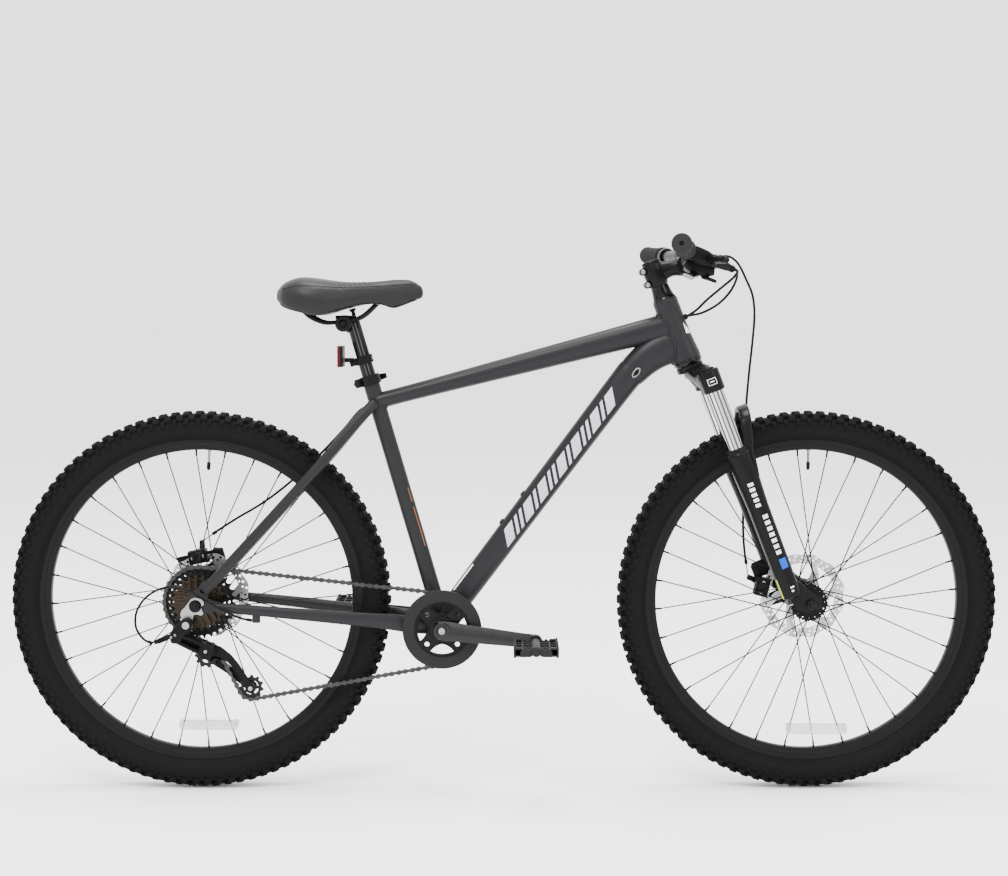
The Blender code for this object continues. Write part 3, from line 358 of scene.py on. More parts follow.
def bolt(at, axis, radius=4.0, height=3.5, sides=24):
    """A round screw head with a socket in its face."""
    socket = radius * 0.52
    profile = [(0, height * 0.45), (socket, height * 0.45), (socket, height), (radius - 0.5, height),
               (radius, height - 0.5), (radius, 0), (0, 0)]
    return lathe(profile, at, axis, sides)


def nut(at, axis, radius=7.0, height=5.0):
    """A six-sided nut with an eased outer face."""
    profile = [(0, 0), (radius, 0), (radius, height - 0.8), (radius - 0.8, height), (0, height)]
    return lathe(profile, at, axis, 6)


def box(centre, half, forward=X, up=Z):
    """A block with its own forward and up directions."""
    side = up.cross(forward)
    centre = Vector(centre)
    corners = ((-1, -1), (1, -1), (1, 1), (-1, 1))
    rings = []
    for end in (-1, 1):
        middle = centre + forward * half[0] * end
        rings.append([middle + side * half[1] * u + up * half[2] * v for u, v in corners])
    return skin(rings)


def plate(outer, holes, low, high):
    """A flat plate with holes. Its outlines are (x, z) points and it is thickened along Y."""
    curve = bpy.data.curves.new("outline", "CURVE")
    curve.dimensions = "2D"
    curve.fill_mode = "BOTH"
    curve.extrude = (high - low) / 2
    for outline in (outer, *holes):
        edge = curve.splines.new("POLY")
        edge.points.add(len(outline) - 1)
        for corner, (x, z) in zip(edge.points, outline):
            corner.co = (x, z, 0, 1)
        edge.use_cyclic_u = True
    guide = bpy.data.objects.new("outline", curve)
    bpy.context.scene.collection.objects.link(guide)
    mesh = bpy.data.meshes.new_from_object(guide.evaluated_get(bpy.context.evaluated_depsgraph_get()))
    middle = (low + high) / 2
    points = [Vector((v.co.x, middle + v.co.z, v.co.y)) for v in mesh.vertices]
    faces = [tuple(face.vertices) for face in mesh.polygons]
    bpy.data.objects.remove(guide)
    bpy.data.curves.remove(curve)
    bpy.data.meshes.remove(mesh)
    return points, faces


def circle(centre, radius, sides=48, phase=0.0):
    """An outline for a plate."""
    spots = [polar(centre, radius, phase + k * math.tau / sides) for k in range(sides)]
    return [(spot.x, spot.z) for spot in spots]


def arc_window(centre, inner, outer, start, end, steps=8):
    """A hole bounded by two arcs and two radial edges."""
    angles = [start + (end - start) * k / steps for k in range(steps + 1)]
    spots = [polar(centre, outer, a) for a in angles] + [polar(centre, inner, a) for a in reversed(angles)]
    return [(spot.x, spot.z) for spot in spots]


# ---------------------------------------------------------------- pieces


def piece(name, body, look, shapes, replaces=(), bevel=0.0, angle=35):
    """One visible object that rides on a CAD body. Edges sharper than angle stay sharp."""
    points, faces = [], []
    for shape_points, shape_faces in shapes:
        base = len(points)
        points += shape_points
        faces += [tuple(base + index for index in face) for face in shape_faces]
    mesh = bpy.data.meshes.new(name)
    mesh.from_pydata([Vector(point) * MM for point in points], [], faces)
    work = bmesh.new()
    work.from_mesh(mesh)
    bmesh.ops.remove_doubles(work, verts=work.verts[:], dist=MERGE)
    bmesh.ops.recalc_face_normals(work, faces=work.faces[:])
    work.to_mesh(mesh)
    work.free()
    mesh.materials.append(look)
    mesh.shade_smooth()
    mesh.set_sharp_from_angle(angle=math.radians(angle))
    made = bpy.data.objects.new(name, mesh)
    bpy.context.scene.collection.objects.link(made)
    if bevel:
        rounding = made.modifiers.new("Bevel", "BEVEL")
        rounding.width = bevel * MM
        rounding.segments = 3
        rounding.limit_method = "ANGLE"
        rounding.angle_limit = math.radians(40)
        rounding.harden_normals = True
    if body:
        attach(made, body)
    if replaces:
        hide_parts(*replaces)
    return made


def add_tone(look, broad, colour, spread):
    """Lets the colour drift lighter and darker with a broad noise."""
    nodes, links = look.node_tree.nodes, look.node_tree.links
    tone = nodes.new("ShaderNodeMix")
    tone.data_type = "RGBA"
    tone.inputs[6].default_value = (*(c * (1 - spread) for c in colour), 1)
    tone.inputs[7].default_value = (*(min(1, c * (1 + spread)) for c in colour), 1)
    links.new(broad.outputs["Fac"], tone.inputs[0])
    links.new(tone.outputs[2], nodes["Principled BSDF"].inputs["Base Color"])


def add_sheen(look, broad, roughness, spread):
    """Lets the roughness drift with a broad noise."""
    nodes, links = look.node_tree.nodes, look.node_tree.links
    sheen = nodes.new("ShaderNodeMapRange")
    sheen.inputs["From Min"].default_value = 0.3
    sheen.inputs["From Max"].default_value = 0.7
    sheen.inputs["To Min"].default_value = max(0.03, roughness - spread)
    sheen.inputs["To Max"].default_value = min(1, roughness + spread)
    links.new(broad.outputs["Fac"], sheen.inputs["Value"])
    links.new(sheen.outputs["Result"], nodes["Principled BSDF"].inputs["Roughness"])


def add_grain(look, place, grain, depth, cells):
    """A fine relief over the surface, of round cells or of plain noise."""
    nodes, links = look.node_tree.nodes, look.node_tree.links
    if cells:
        fine = nodes.new("ShaderNodeTexVoronoi")
        fine.feature = "SMOOTH_F1"
        height = fine.outputs["Distance"]
    else:
        fine = nodes.new("ShaderNodeTexNoise")
        fine.inputs["Detail"].default_value = 4
        height = fine.outputs["Fac"]
    fine.inputs["Scale"].default_value = grain
    links.new(place.outputs["Vector"], fine.inputs["Vector"])
    bump = nodes.new("ShaderNodeBump")
    bump.inputs["Strength"].default_value = depth
    bump.inputs["Distance"].default_value = 0.0006
    links.new(height, bump.inputs["Height"])
    links.new(bump.outputs["Normal"], nodes["Principled BSDF"].inputs["Normal"])


def material(name, colour, roughness, metallic=0.0, spread=0.15, cloud=14.0, grain=700.0, depth=0.15,
             coat=0.0, cells=False, stretch=(1, 1, 1), rough_spread=0.08, gleam=0.05):
    """A procedural finish: broad tone changes, a roughness that varies, and a fine grain as bump."""
    look = bpy.data.materials.new(name)
    look.use_nodes = True
    nodes, links = look.node_tree.nodes, look.node_tree.links
    shader = nodes["Principled BSDF"]
    shader.inputs["Metallic"].default_value = metallic
    shader.inputs["Specular IOR Level"].default_value = gleam
    shader.inputs["Coat Weight"].default_value = coat
    shader.inputs["Coat Roughness"].default_value = 0.12
    where = nodes.new("ShaderNodeTexCoord")
    place = nodes.new("ShaderNodeMapping")
    place.inputs["Scale"].default_value = stretch
    links.new(where.outputs["Object"], place.inputs["Vector"])
    broad = nodes.new("ShaderNodeTexNoise")
    broad.inputs["Scale"].default_value = cloud
    broad.inputs["Detail"].default_value = 6
    links.new(place.outputs["Vector"], broad.inputs["Vector"])
    add_tone(look, broad, colour, spread)
    add_sheen(look, broad, roughness, rough_spread)
    add_grain(look, place, grain, depth, cells)
    return look


PAINT = material("charcoal_paint", (0.0102, 0.0104, 0.0114), 0.36, grain=1600, depth=0.10,
                 gleam=0.12)
WELD = material("weld_paint", (0.0106, 0.0108, 0.0118), 0.34, grain=900, depth=0.25,
                gleam=0.12)
SATIN = material("satin_black", (0.0042, 0.0042, 0.0045), 0.3, grain=1500, depth=0.08, coat=0.05)
GLOSS = material("gloss_black", (0.0022, 0.0022, 0.0024), 0.14, grain=900, depth=0.03, coat=0.22)
FORGED = material("forged_black", (0.0045, 0.0045, 0.0048), 0.3, grain=900, depth=0.14)
PLASTIC = material("black_plastic", (0.0048, 0.0048, 0.0051), 0.46, grain=1100, depth=0.2)
NYLON = material("glass_filled_nylon", (0.0115, 0.0115, 0.0118), 0.5, grain=800, depth=0.35,
                 gleam=0.08)
ARM_BLACK = material("crank_black", (0.0065, 0.0065, 0.0068), 0.27, grain=1500, depth=0.08, gleam=0.2)
TREAD = material("tyre_tread", (0.0036, 0.0036, 0.0038), 0.7, spread=0.3, cloud=30, grain=500, depth=0.4,
                 gleam=0.05)
CASING = material("tyre_casing", (0.0040, 0.0041, 0.0044), 0.62, spread=0.25, cloud=24, grain=420, depth=0.3,
                  gleam=0.05)
GRIP = material("grip_rubber", (0.016, 0.0163, 0.017), 0.7, grain=900, depth=0.35)
RIM = material("rim_anodised", (0.0070, 0.0070, 0.0075), 0.4, metallic=0.1, grain=1400, depth=0.08)
VINYL = material("saddle_vinyl", (0.0092, 0.0092, 0.0099), 0.44, cells=True, grain=620, depth=0.35,
                 gleam=0.14)
# The thread colour is also used on the saddle's flutes as a painted highlight.
THREAD_AND_HIGHLIGHT = material("saddle_thread_and_highlight", (0.04, 0.04, 0.042), 0.7, grain=2500, depth=0.5)
STEEL = material("brushed_steel", (0.26, 0.26, 0.27), 0.34, metallic=1, stretch=(1, 6, 1), grain=900,
                 depth=0.12)
ROTOR = material("rotor_steel", (0.36, 0.36, 0.37), 0.3, metallic=1, grain=1300, depth=0.12)
CHAIN = material("chain_steel", (0.036, 0.035, 0.033), 0.3, metallic=1, spread=0.6, cloud=60, grain=1200,
                 depth=0.15)
DARK_STEEL = material("dark_steel", (0.011, 0.011, 0.0115), 0.35, metallic=0.9, grain=1200, depth=0.12)
BRONZE = material("sprocket_bronze", (0.027, 0.021, 0.0158), 0.38, metallic=0.85, spread=0.45, cloud=40,
                  grain=900, depth=0.15)
BLACK_COG = material("sprocket_black", (0.008, 0.008, 0.008), 0.42, metallic=0.5, grain=900, depth=0.15)
SPOKE = material("spoke_black", (0.006, 0.006, 0.006), 0.4, metallic=0.3, grain=1200, depth=0.05)
CABLE = material("cable_housing", (0.006, 0.006, 0.0063), 0.34, grain=1300, depth=0.1)
RED = material("reflector_red", (0.05, 0.001, 0.003), 0.2, cells=True, grain=420, depth=0.6, coat=0.2)
SILVER_INK = material("silver_ink", (0.46, 0.45, 0.50), 0.45, spread=0.06, grain=1500, depth=0.08)
ORANGE_INK = material("orange_ink", (0.30, 0.11, 0.035), 0.45, spread=0.06, grain=1500, depth=0.08)
WHITE_INK = material("white_ink", (0.72, 0.72, 0.72), 0.4, spread=0.04, grain=1500, depth=0.06)
BLUE_INK = material("blue_ink", (0.004, 0.065, 0.42), 0.38, spread=0.06, grain=1500, depth=0.06)
LIME_INK = material("lime_ink", (0.42, 0.46, 0.02), 0.4, spread=0.06, grain=1500, depth=0.06)


def paint_reflection_streaks(look, middle, edge, streaks):
    """Paints streaks into a polished tube's base colour along its length, set by how far its surface turns
    from the view: painted highlights and painted dark reflections.
    """
    nodes, links = look.node_tree.nodes, look.node_tree.links
    # The facing value follows the view, so these bands are painted reflections, not marks on the surface.
    facing = nodes.new("ShaderNodeLayerWeight")
    facing.inputs["Blend"].default_value = 0.5
    painted_bands = nodes.new("ShaderNodeValToRGB")
    painted_bands.color_ramp.elements[0].color = (middle, middle, middle, 1)
    painted_bands.color_ramp.elements[1].color = (edge, edge, edge, 1)
    for place, grey in streaks:
        painted_bands.color_ramp.elements.new(place).color = (grey, grey, grey * 1.02, 1)
    links.new(facing.outputs["Facing"], painted_bands.inputs["Fac"])
    links.new(painted_bands.outputs["Color"], nodes["Principled BSDF"].inputs["Base Color"])
    return look


# The chrome's base colour holds painted reflections: light and dark bands set by how far the surface turns
# from the view.
CHROME = paint_reflection_streaks(material("hard_chrome_painted_reflections", (0.80, 0.80, 0.82), 0.09, metallic=1, spread=0.04, grain=1600,
                           depth=0.02, rough_spread=0.03), 0.70, 0.06,
                  ((0.006, 0.62), (0.018, 0.10), (0.055, 0.08), (0.090, 0.58), (0.16, 0.66), (0.23, 0.10),
                   (0.36, 0.06), (0.43, 0.45), (0.55, 0.45), (0.70, 0.05)))
# The post's base colour holds two painted highlight lines, set by how far the surface turns from the view.
POST_BLACK = paint_reflection_streaks(material("post_black_painted_highlights", (0.0024, 0.0024, 0.0026), 0.16, grain=900, depth=0.03, coat=0.2),
                      0.0024, 0.0024,
                      ((0.012, 0.0024), (0.022, 0.06), (0.034, 0.06), (0.050, 0.0024), (0.24, 0.0024),
                       (0.30, 0.014), (0.38, 0.0024)))


def clear_plastic():
    """The clear wheel and pedal reflectors: a see-through shell over a cube-corner pattern."""
    look = material("clear_reflector", (0.86, 0.87, 0.90), 0.12, cells=True, grain=380, depth=0.9, coat=0.5)
    shader = look.node_tree.nodes["Principled BSDF"]
    shader.inputs["Transmission Weight"].default_value = 0.72
    shader.inputs["IOR"].default_value = 1.45
    return look


CLEAR = clear_plastic()


# ---------------------------------------------------------------- wheels


def knob(centre, angle, y, radius, size, tilt=0.0, twist=0.0):
    """A tread block topped at a radius. size is (half way round, half way across, height)."""
    out = Vector((math.cos(angle), 0, math.sin(angle)))
    onward = Vector((-out.z, 0, out.x))
    up = out * math.cos(tilt) + Y * math.sin(tilt)
    across = Y * math.cos(tilt) - out * math.sin(tilt)
    turn = Matrix.Rotation(twist, 3, up)
    onward, across = turn @ onward, turn @ across
    top = Vector((centre.x, 0, centre.z)) + out * radius + Y * y
    rings = []
    for drop, grow in ((size[2], 1.22), (0.9, 1.0), (0, 0.84)):
        rings.append([top - up * drop + onward * size[0] * grow * u + across * size[1] * grow * v
                      for u, v in ((-1, -1), (1, -1), (1, 1), (-1, 1))])
    return skin(rings)


def make_tyre(name, centre):
    """The casing, four kinds of tread block and the ribs on its walls."""
    outside = [(286.5, 8.5), (289, 10.6), (292, 11.4), (296, 12.5), (301, 17.0), (306, 20.8), (313, 24.1),
               (320, 25.7), (327, 25.4), (333, 23.0), (338, 18.0), (341, 11.5), (342.4, 5.0)]
    inside = [(288, 7.4), (300, 12), (312, 20), (326, 22), (337, 12)]
    profile = outside + [(r, -y) for r, y in reversed(outside)]
    profile += [(r, -y) for r, y in inside] + [(r, y) for r, y in reversed(inside)]
    body = name + "_wheel"
    piece(name + "_casing", body, CASING, [lathe(profile, centre, Y, 256)], [name + "_tyre"], angle=50)

    knobs = []
    step = math.tau / TREAD_ROWS
    for k in range(TREAD_ROWS):
        angle = k * step
        lean = 0.24 if k % 2 else -0.24
        for side in (-1, 1):
            knobs.append(knob(centre, angle, side * 6.8, 348.3, (6.2, 4.6, 7.5), side * 0.12, side * lean))
            knobs.append(knob(centre, angle, side * 17, 345.6, (5.2, 3.9, 8.5), side * 0.5, -side * 0.15))
            knobs.append(knob(centre, angle + step / 2, side * 24.6, 339.2, (6.2, 5.6, 9), side * 0.92))
            knobs.append(knob(centre, angle, side * 26.9, 329.2, (4.7, 5.2, 5), side * 1.36))
    piece(name + "_tread", body, TREAD, knobs, bevel=0.9)

    rails = []
    for side in (-1, 1):
        for radius, y, thick in ((297.5, 14.0, 0.8), (303.5, 19.0, 0.45), (318.5, 25.5, 0.5)):
            turns = [polar(centre, radius, k * math.tau / 192, side * y) for k in range(192)]
            rails.append(sweep(turns, (thick, thick), ellipse(6), side=Y, closed=True))
    piece(name + "_tyre_ribs", body, CASING, rails)


def make_rim(name, centre):
    """The rim with its spoke nipples and its valve."""
    wall = [(298.5, 13.2), (298.2, 14.0), (296.6, 14.0), (296.4, 13.3), (288.6, 12.6), (287.6, 13.2),
            (286.8, 12.6), (279, 10.2), (277.6, 8.4), (277, 5)]
    floor = [(298.5, 12.0), (293, 11.6), (288, 10.9), (286.5, 8)]
    profile = wall + [(r, -y) for r, y in reversed(wall)]
    profile += [(r, -y) for r, y in floor] + [(r, y) for r, y in reversed(floor)]
    body = name + "_wheel"
    piece(name + "_rim", body, RIM, [lathe(profile, centre, Y, 192)], [name + "_rim"], angle=28)

    nipples = []
    for number in range(SPOKES):
        angle, side = rim_hole(name, number)
        out = Vector((math.cos(angle), 0, math.sin(angle)))
        foot = polar(centre, 277.6, angle, side * 2.5)
        nipples.append(lathe([(0, 0), (3.3, 0), (3.3, 0.9), (1.9, 1.4), (1.7, 11.5), (1.3, 12), (0, 12)],
                             foot, -out, 12))
    piece(name + "_nipples", body, FORGED, nipples)

    out = Vector((math.cos(VALVE_AT[name]), 0, math.sin(VALVE_AT[name])))
    foot = polar(centre, 277.5, VALVE_AT[name])
    stem = lathe([(0, 0), (4.0, 0), (4.0, 2.2), (2.5, 2.8), (2.4, 26), (0, 26)], foot, -out, 20)
    rings = [lathe([(2.4, h), (2.85, h + 0.5), (2.4, h + 1.0)], foot, -out, 16) for h in range(5, 22, 2)]
    piece(name + "_valve_stem", body, STEEL, [stem, *rings])
    cap = [(0, 23), (3.1, 23), (3.3, 35), (2.4, 37.6), (0, 37.6)]
    ribs = [box(foot - out * 29 + around, (0.3, 0.3, 5), Y, out) for around in spread(Y, out, 3.2, 12)]
    piece(name + "_valve_cap", body, PLASTIC, [lathe(cap, foot, -out, 24), *ribs])


def spread(first, axis, radius, count, phase=0.0):
    """Offsets evenly round an axis, starting from one direction across it."""
    second = axis.cross(first)
    turns = [phase + k * math.tau / count for k in range(count)]
    return [(first * math.cos(a) + second * math.sin(a)) * radius for a in turns]


def ribbon(low, high, lift, thick=0.12):
    """A thin raised patch between two lines of points."""
    lift = lift.normalized() * thick
    rings = [[a - lift, b - lift, b + lift, a + lift] for a, b in zip(low, high)]
    return skin(rings)


def rim_hole(name, number):
    """The angle and side of one spoke's hole in the rim."""
    return SPOKE_PHASE[name] + number * math.tau / SPOKES, -1 if number % 2 else 1


def lace(name, centre, flanges):
    """Thirty-two spokes laced three cross. flanges holds the (y, hole circle radius) of each side."""
    cross = 3 * math.tau / (SPOKES // 2)
    spokes, heads = [], []
    for number in range(SPOKES):
        angle, side = rim_hole(name, number)
        flange_y, hole_r = flanges[side]
        lead = 1 if number // 2 % 2 else -1
        hub_angle = angle + lead * cross * 0.94
        start = polar(centre, hole_r, hub_angle, flange_y - side * lead * 1.9)
        foot = polar(centre, hole_r + 0.6, hub_angle, flange_y + side * lead * 1.6)
        end = polar(centre, RIM_IN - 9, angle, side * 2.5)
        spokes.append(sweep([foot, start, start.lerp(end, 0.02), end], (SPOKE_R, SPOKE_R), ellipse(8)))
        heads.append(lathe([(0, 0), (2.0, 0), (1.7, 1.0), (0, 1.3)], foot, Y * side * lead, 12))
    piece(name + "_spokes", name + "_wheel", SPOKE, spokes + heads)


def flange(centre, y, radius, hole_r, half=1.6):
    """A hub flange with its spoke holes."""
    holes = [circle(polar(centre, hole_r, k * math.tau / 16), 1.5, 10) for k in range(16)]
    return plate(circle(centre, radius, 72), holes, y - half, y + half)


def make_front_hub():
    """The front hub with its spokes, rotor and bolted axle."""
    lace("front", FRONT, {-1: (-35.0, 29.0), 1: (22.5, 25.0)})
    shell = lathe([(0, -49), (8.5, -49), (9, -41.5), (12.5, -40.5), (15, -38.5), (15, -33), (13, -24),
                   (12.6, 0), (13.4, 16), (15, 19), (18, 26.5), (18, 38), (12, 42.5), (8.5, 43.5), (8.5, 49),
                   (0, 49)],
                  FRONT, Y, 48)
    flanges = [flange(FRONT, -35, 33.2, 29), flange(FRONT, 22.5, 29, 25)]
    piece("front_hub_shell", "front_wheel", FORGED, [shell, *flanges], ["front_hub"], bevel=0.4)
    teeth = [box(FRONT + Y * -35 + out, (1.2, 1.5, 1.6), forward=out.normalized(),
                 up=Y.cross(out.normalized()))
             for out in spread(X, Y, 33.6, 36)]
    piece("front_hub_serrations", "front_wheel", FORGED, teeth, bevel=0.3)
    cones = [nut(FRONT + Y * side * 43, Y * side, 8.2, 5.5) for side in (-1, 1)]
    piece("front_hub_cones", "front_wheel", STEEL, cones, bevel=0.3)
    make_rotor("front", FRONT, 39.5)
    thread = [rod(4.5, FRONT - Y * 70, FRONT + Y * 70, 24)]
    thread += [lathe([(4.4, 0), (4.85, 0.5), (4.4, 1.0)], FRONT + Y * side * h, Y * side, 20)
               for side in (-1, 1) for h in (66.5, 67.7, 68.9)]
    piece("front_axle_rod", "lowers", DARK_STEEL, thread, ["front_axle"])
    nuts = []
    for side in (-1, 1):
        washer = pipe(11, 4.6, FRONT + Y * side * 58.2, FRONT + Y * side * 59.6)
        nuts += [washer, nut(FRONT + Y * side * 59.6, Y * side, 9.3, 7)]
    piece("front_axle_nuts", "lowers", DARK_STEEL, nuts, bevel=0.4)


def make_rear_hub():
    """The rear hub with its spokes, rotor and bolted axle."""
    lace("rear", REAR, {-1: (-19.8, 23.5), 1: (32.5, 25.0)})
    shell = lathe([(0, -66), (8.5, -66), (8.5, -25), (16, -23), (17, -18), (14.5, -12), (13.8, 8), (15, 25),
                   (18, 36), (18, 51), (12, 55.5), (8.5, 56.5), (8.5, 66), (0, 66)], REAR, Y, 48)
    flanges = [flange(REAR, -19.8, 27.4, 23.5), flange(REAR, 32.5, 29, 25)]
    piece("rear_hub_shell", "rear_wheel", FORGED, [shell, *flanges], ["rear_hub"], bevel=0.4)
    make_rotor("rear", REAR, 52)
    thread = [rod(4.8, REAR - Y * 88, REAR + Y * 84, 24)]
    thread += [lathe([(4.7, 0), (5.1, 0.5), (4.7, 1.0)], REAR - Y * h, -Y, 20) for h in (85.6, 86.6, 87.4)]
    piece("rear_axle_rod", "frame", DARK_STEEL, thread, ["rear_axle"])
    nuts = []
    for side, start in ((-1, 77.4), (1, 73.6)):
        nuts += [pipe(11.5, 5, REAR + Y * side * start, REAR + Y * side * (start + 1.5)),
                 nut(REAR + Y * side * (start + 1.5), Y * side, 9.8, 7)]
    piece("rear_axle_nuts", "frame", DARK_STEEL, nuts, bevel=0.4)


def make_rotor(name, centre, y):
    """A disc with a wavy edge, a drilled brake track and curved arms to its carrier."""
    rim = []
    for k in range(144):
        wave = 3.6 * (0.5 + 0.5 * math.cos(k * math.tau * 12 / 144))
        spot = polar(centre, ROTOR_R - wave, k * math.tau / 144)
        rim.append((spot.x, spot.z))
    holes = []
    for k in range(36):
        middle = k * math.tau / 36
        radius = (71.6, 75.0, 71.6)[k % 3]
        holes.append(circle(polar(centre, radius, middle), 2.5, 14))
        holes.append(circle(polar(centre, radius - 6.6, middle + 0.05), 2.0, 12))
    arms = []
    for k in range(6):
        start = k * math.tau / 6 + 0.2
        outer = [polar(centre, 61.5, start + a) for a in (0.12, 0.25, 0.4, 0.55, 0.7, 0.83, 0.92)]
        inner = [polar(centre, r, start + a)
                 for r, a in ((50, 0.70), (38, 0.50), (33.5, 0.30), (33.5, 0.02), (38, -0.05), (50, -0.02))]
        arms.append([(p.x, p.z) for p in outer + inner])
    centre_hole = circle(centre, 19, 40)
    bolt_holes = [circle(polar(centre, 25.5, k * math.tau / 6 + 0.1), 2.4, 12) for k in range(6)]
    track = plate(rim, holes + arms + [centre_hole] + bolt_holes, y - 0.9, y + 0.9)
    piece(name + "_rotor_disc", name + "_wheel", ROTOR, [track], [name + "_rotor"], bevel=0.2)
    bolts = []
    for k in range(6):
        spot = polar(centre, 25.5, k * math.tau / 6 + 0.1, y + 0.9)
        bolts.append(bolt(spot, Y, 3.6, 2.4, 16))
    piece(name + "_rotor_bolts", name + "_wheel", DARK_STEEL, bolts)
    carrier = lathe([(17.5, y - 5), (29, y - 5), (29, y - 1), (17.5, y - 1)], centre, Y, 48)
    piece(name + "_rotor_seat", name + "_wheel", FORGED, [carrier], bevel=0.4)


def make_wheel_reflector(name, x_from, x_to, low, high):
    """A clear reflector bar clipped across two spokes below the hub."""
    wide, tall = x_to - x_from, high - low
    middle = Vector(((x_from + x_to) / 2, 0, (low + high) / 2))
    outline = [(middle.x + wide / 2 * u, middle.z + tall / 2 * v)
               for u, v in [(-0.97, -0.9), (-0.5, -1), (0.5, -1), (0.97, -0.9), (1, -0.5), (1, 0.5),
                            (0.97, 0.9), (0.5, 0.98), (-0.5, 0.98), (-0.97, 0.9), (-1, 0.5), (-1, -0.5)]]
    body = name + "_wheel"
    piece(name + "_reflector_lens", body, CLEAR, [plate(outline, [], -7.5, 7.5)], bevel=1.5)
    prisms = []
    columns, rows = 16, 3
    for i in range(columns):
        for j in range(rows):
            spot = Vector((x_from + wide * (i + 1) / (columns + 1), 0, low + tall * (j + 1) / (rows + 1)))
            for side in (-1, 1):
                prisms.append(lathe([(2.6, 0), (0, 1.6)], spot + Y * side * 7.3, Y * side, 6))
    piece(name + "_reflector_prisms", body, CLEAR, prisms)
    clips = [box((middle.x + u * wide * 0.46, 0, middle.z + tall * 0.2), (4, 8.6, tall * 0.34))
             for u in (-1, 1)]
    piece(name + "_reflector_clips", body, CLEAR, clips, bevel=1.2)


# ---------------------------------------------------------------- frame


def tree_of(shape):
    """A search tree over a shape's faces."""
    points, faces = shape
    return BVHTree.FromPolygons([Vector(point) for point in points], faces)


def seam(line, neighbour, sides=72):
    """The points where a tube's surface, followed from its first end, meets a neighbour's surface."""
    rings = rings_along(*line, ellipse(sides), Y)
    spots = []
    for k in range(sides):
        spot = None
        for ring, after in zip(rings, rings[1:]):
            run = after[k] - ring[k]
            spot = neighbour.ray_cast(ring[k], run, run.length)[0]
            if spot:
                break
        spots.append(spot)
    return spots


def backwards(line):
    """A path and its sizes from the other end."""
    return line[0][::-1], line[1][::-1]


def weld(name, spots, radius=2.6, wave=3.4):
    """A rippled fillet where two tubes meet. It stays open where they don't meet all round."""
    closed = all(spots)
    if not closed:
        count = len(spots)
        starts = [k for k in range(count) if spots[k] and not spots[k - 1]]
        runs = []
        for first in starts:
            run = []
            while spots[(first + len(run)) % count] and len(run) < count:
                run.append(spots[(first + len(run)) % count])
            runs.append(run)
        spots = max(runs, key=len) if runs else []
        if len(spots) < 5:
            return
    line = even(spots, 1.1, closed)
    sizes = []
    for k in range(len(line)):
        bulge = radius * (0.86 + 0.14 * math.cos(k * 1.1 / wave * math.tau))
        sizes.append((bulge, bulge))
    piece(name, "frame", WELD, [sweep(line, sizes, ellipse(10), closed=closed)])


TOP_TUBE = ([(-233, 0, 714.7), (-134.8, 0, 740.1), (225, 0, 833.3), (309.8, 0, 854.5)],
            [(16, 15), (16, 15.3), (19, 22.5), (20, 24.5)])
DOWN_TUBE = ([(-112.5, 0, 306), DOWN_LOW, DOWN_HIGH, (238, 0, 772), (275, 0, 803), (322, 0, 822)],
             [(20, 21), (20, 22.5), (22, 25.5), (22, 28), (22, 31), (21, 32)])


def chainstay(side):
    """The path and section sizes of the stay from the bottom bracket to the rear axle."""
    return ([(-118, side * 27, 303), (-170, side * 34.5, 308), (-216, side * 41, 315), (-300, side * 52, 324),
             (-388, side * 62, 333.4), (-524, side * STAY_END, 346)],
            [(7.5, 15), (7.5, 15.5), (7.5, 14.5), (8, 12), (8.5, 10.5), (6.5, 8.5)])


def seatstay(side):
    """The path and section sizes of the stay from the rear axle to the seat tube."""
    return ([(-541, side * STAY_END, 375), (-513, side * STAY_END, 405), (-430, side * 65, 495),
             (-330, side * 49, 605), (-266, side * 31, 680), (-236, side * 15, 713)],
            [(6.5, 8.5), (8, 9.5), (8.5, 9.5), (8.5, 9.5), (8.5, 9.5), (8, 9.5)])


def make_frame_tubes():
    """The frame's tubes and stays, with a weld where each one ends."""
    seat_tube = pipe(15, 13.1, seat(-6), seat(SEAT_TUBE), 48)
    shell = pipe(21, 18.5, BB - Y * SHELL_HALF, BB + Y * SHELL_HALF, 56)
    head = lathe([(18, 0), (26.2, 0), (27, 0.8), (27, 10), (26, 16), (23.8, 42), (23, 70),
                  (23, HEAD_TUBE - 0.8), (22.2, HEAD_TUBE), (18, HEAD_TUBE)], HEAD_LOW, STEER_UP, 64)
    piece("seat_tube", "frame", PAINT, [seat_tube], ["frame"])
    piece("bottom_bracket_shell", "frame", PAINT, [shell])
    piece("head_tube", "frame", PAINT, [head])
    top = swell(*TOP_TUBE, ellipse(56), Y)
    down = swell(*DOWN_TUBE, ellipse(56), Y)
    piece("top_tube", "frame", PAINT, [top])
    piece("down_tube", "frame", PAINT, [down])
    head_skin, seat_skin, shell_skin = tree_of(head), tree_of(seat_tube), tree_of(shell)
    weld("weld_top_head", seam(flow(*TOP_TUBE), head_skin), 3.0, 3.6)
    weld("weld_down_head", seam(flow(*DOWN_TUBE), head_skin), 3.0, 3.6)
    weld("weld_top_seat", seam(backwards(flow(*TOP_TUBE)), seat_skin), 2.5, 3.2)
    weld("weld_down_shell", seam(backwards(flow(*DOWN_TUBE)), shell_skin), 2.8, 3.4)
    weld("weld_seat_shell", seam(([seat(40), seat(-6)], [(15, 15), (15, 15)]), shell_skin), 2.2, 3.0)
    for side, word in ((-1, "right"), (1, "left")):
        piece("chainstay_" + word, "frame", PAINT, [swell(*chainstay(side), ellipse(32), Y)])
        piece("seatstay_" + word, "frame", PAINT, [swell(*seatstay(side), ellipse(32), Y)])
        weld("weld_seatstay_" + word, seam(flow(*seatstay(side)), seat_skin), 2.0, 2.8)
        weld("weld_chainstay_" + word, seam(backwards(flow(*chainstay(side))), shell_skin), 2.2, 3.0)
        make_dropout(side, word)


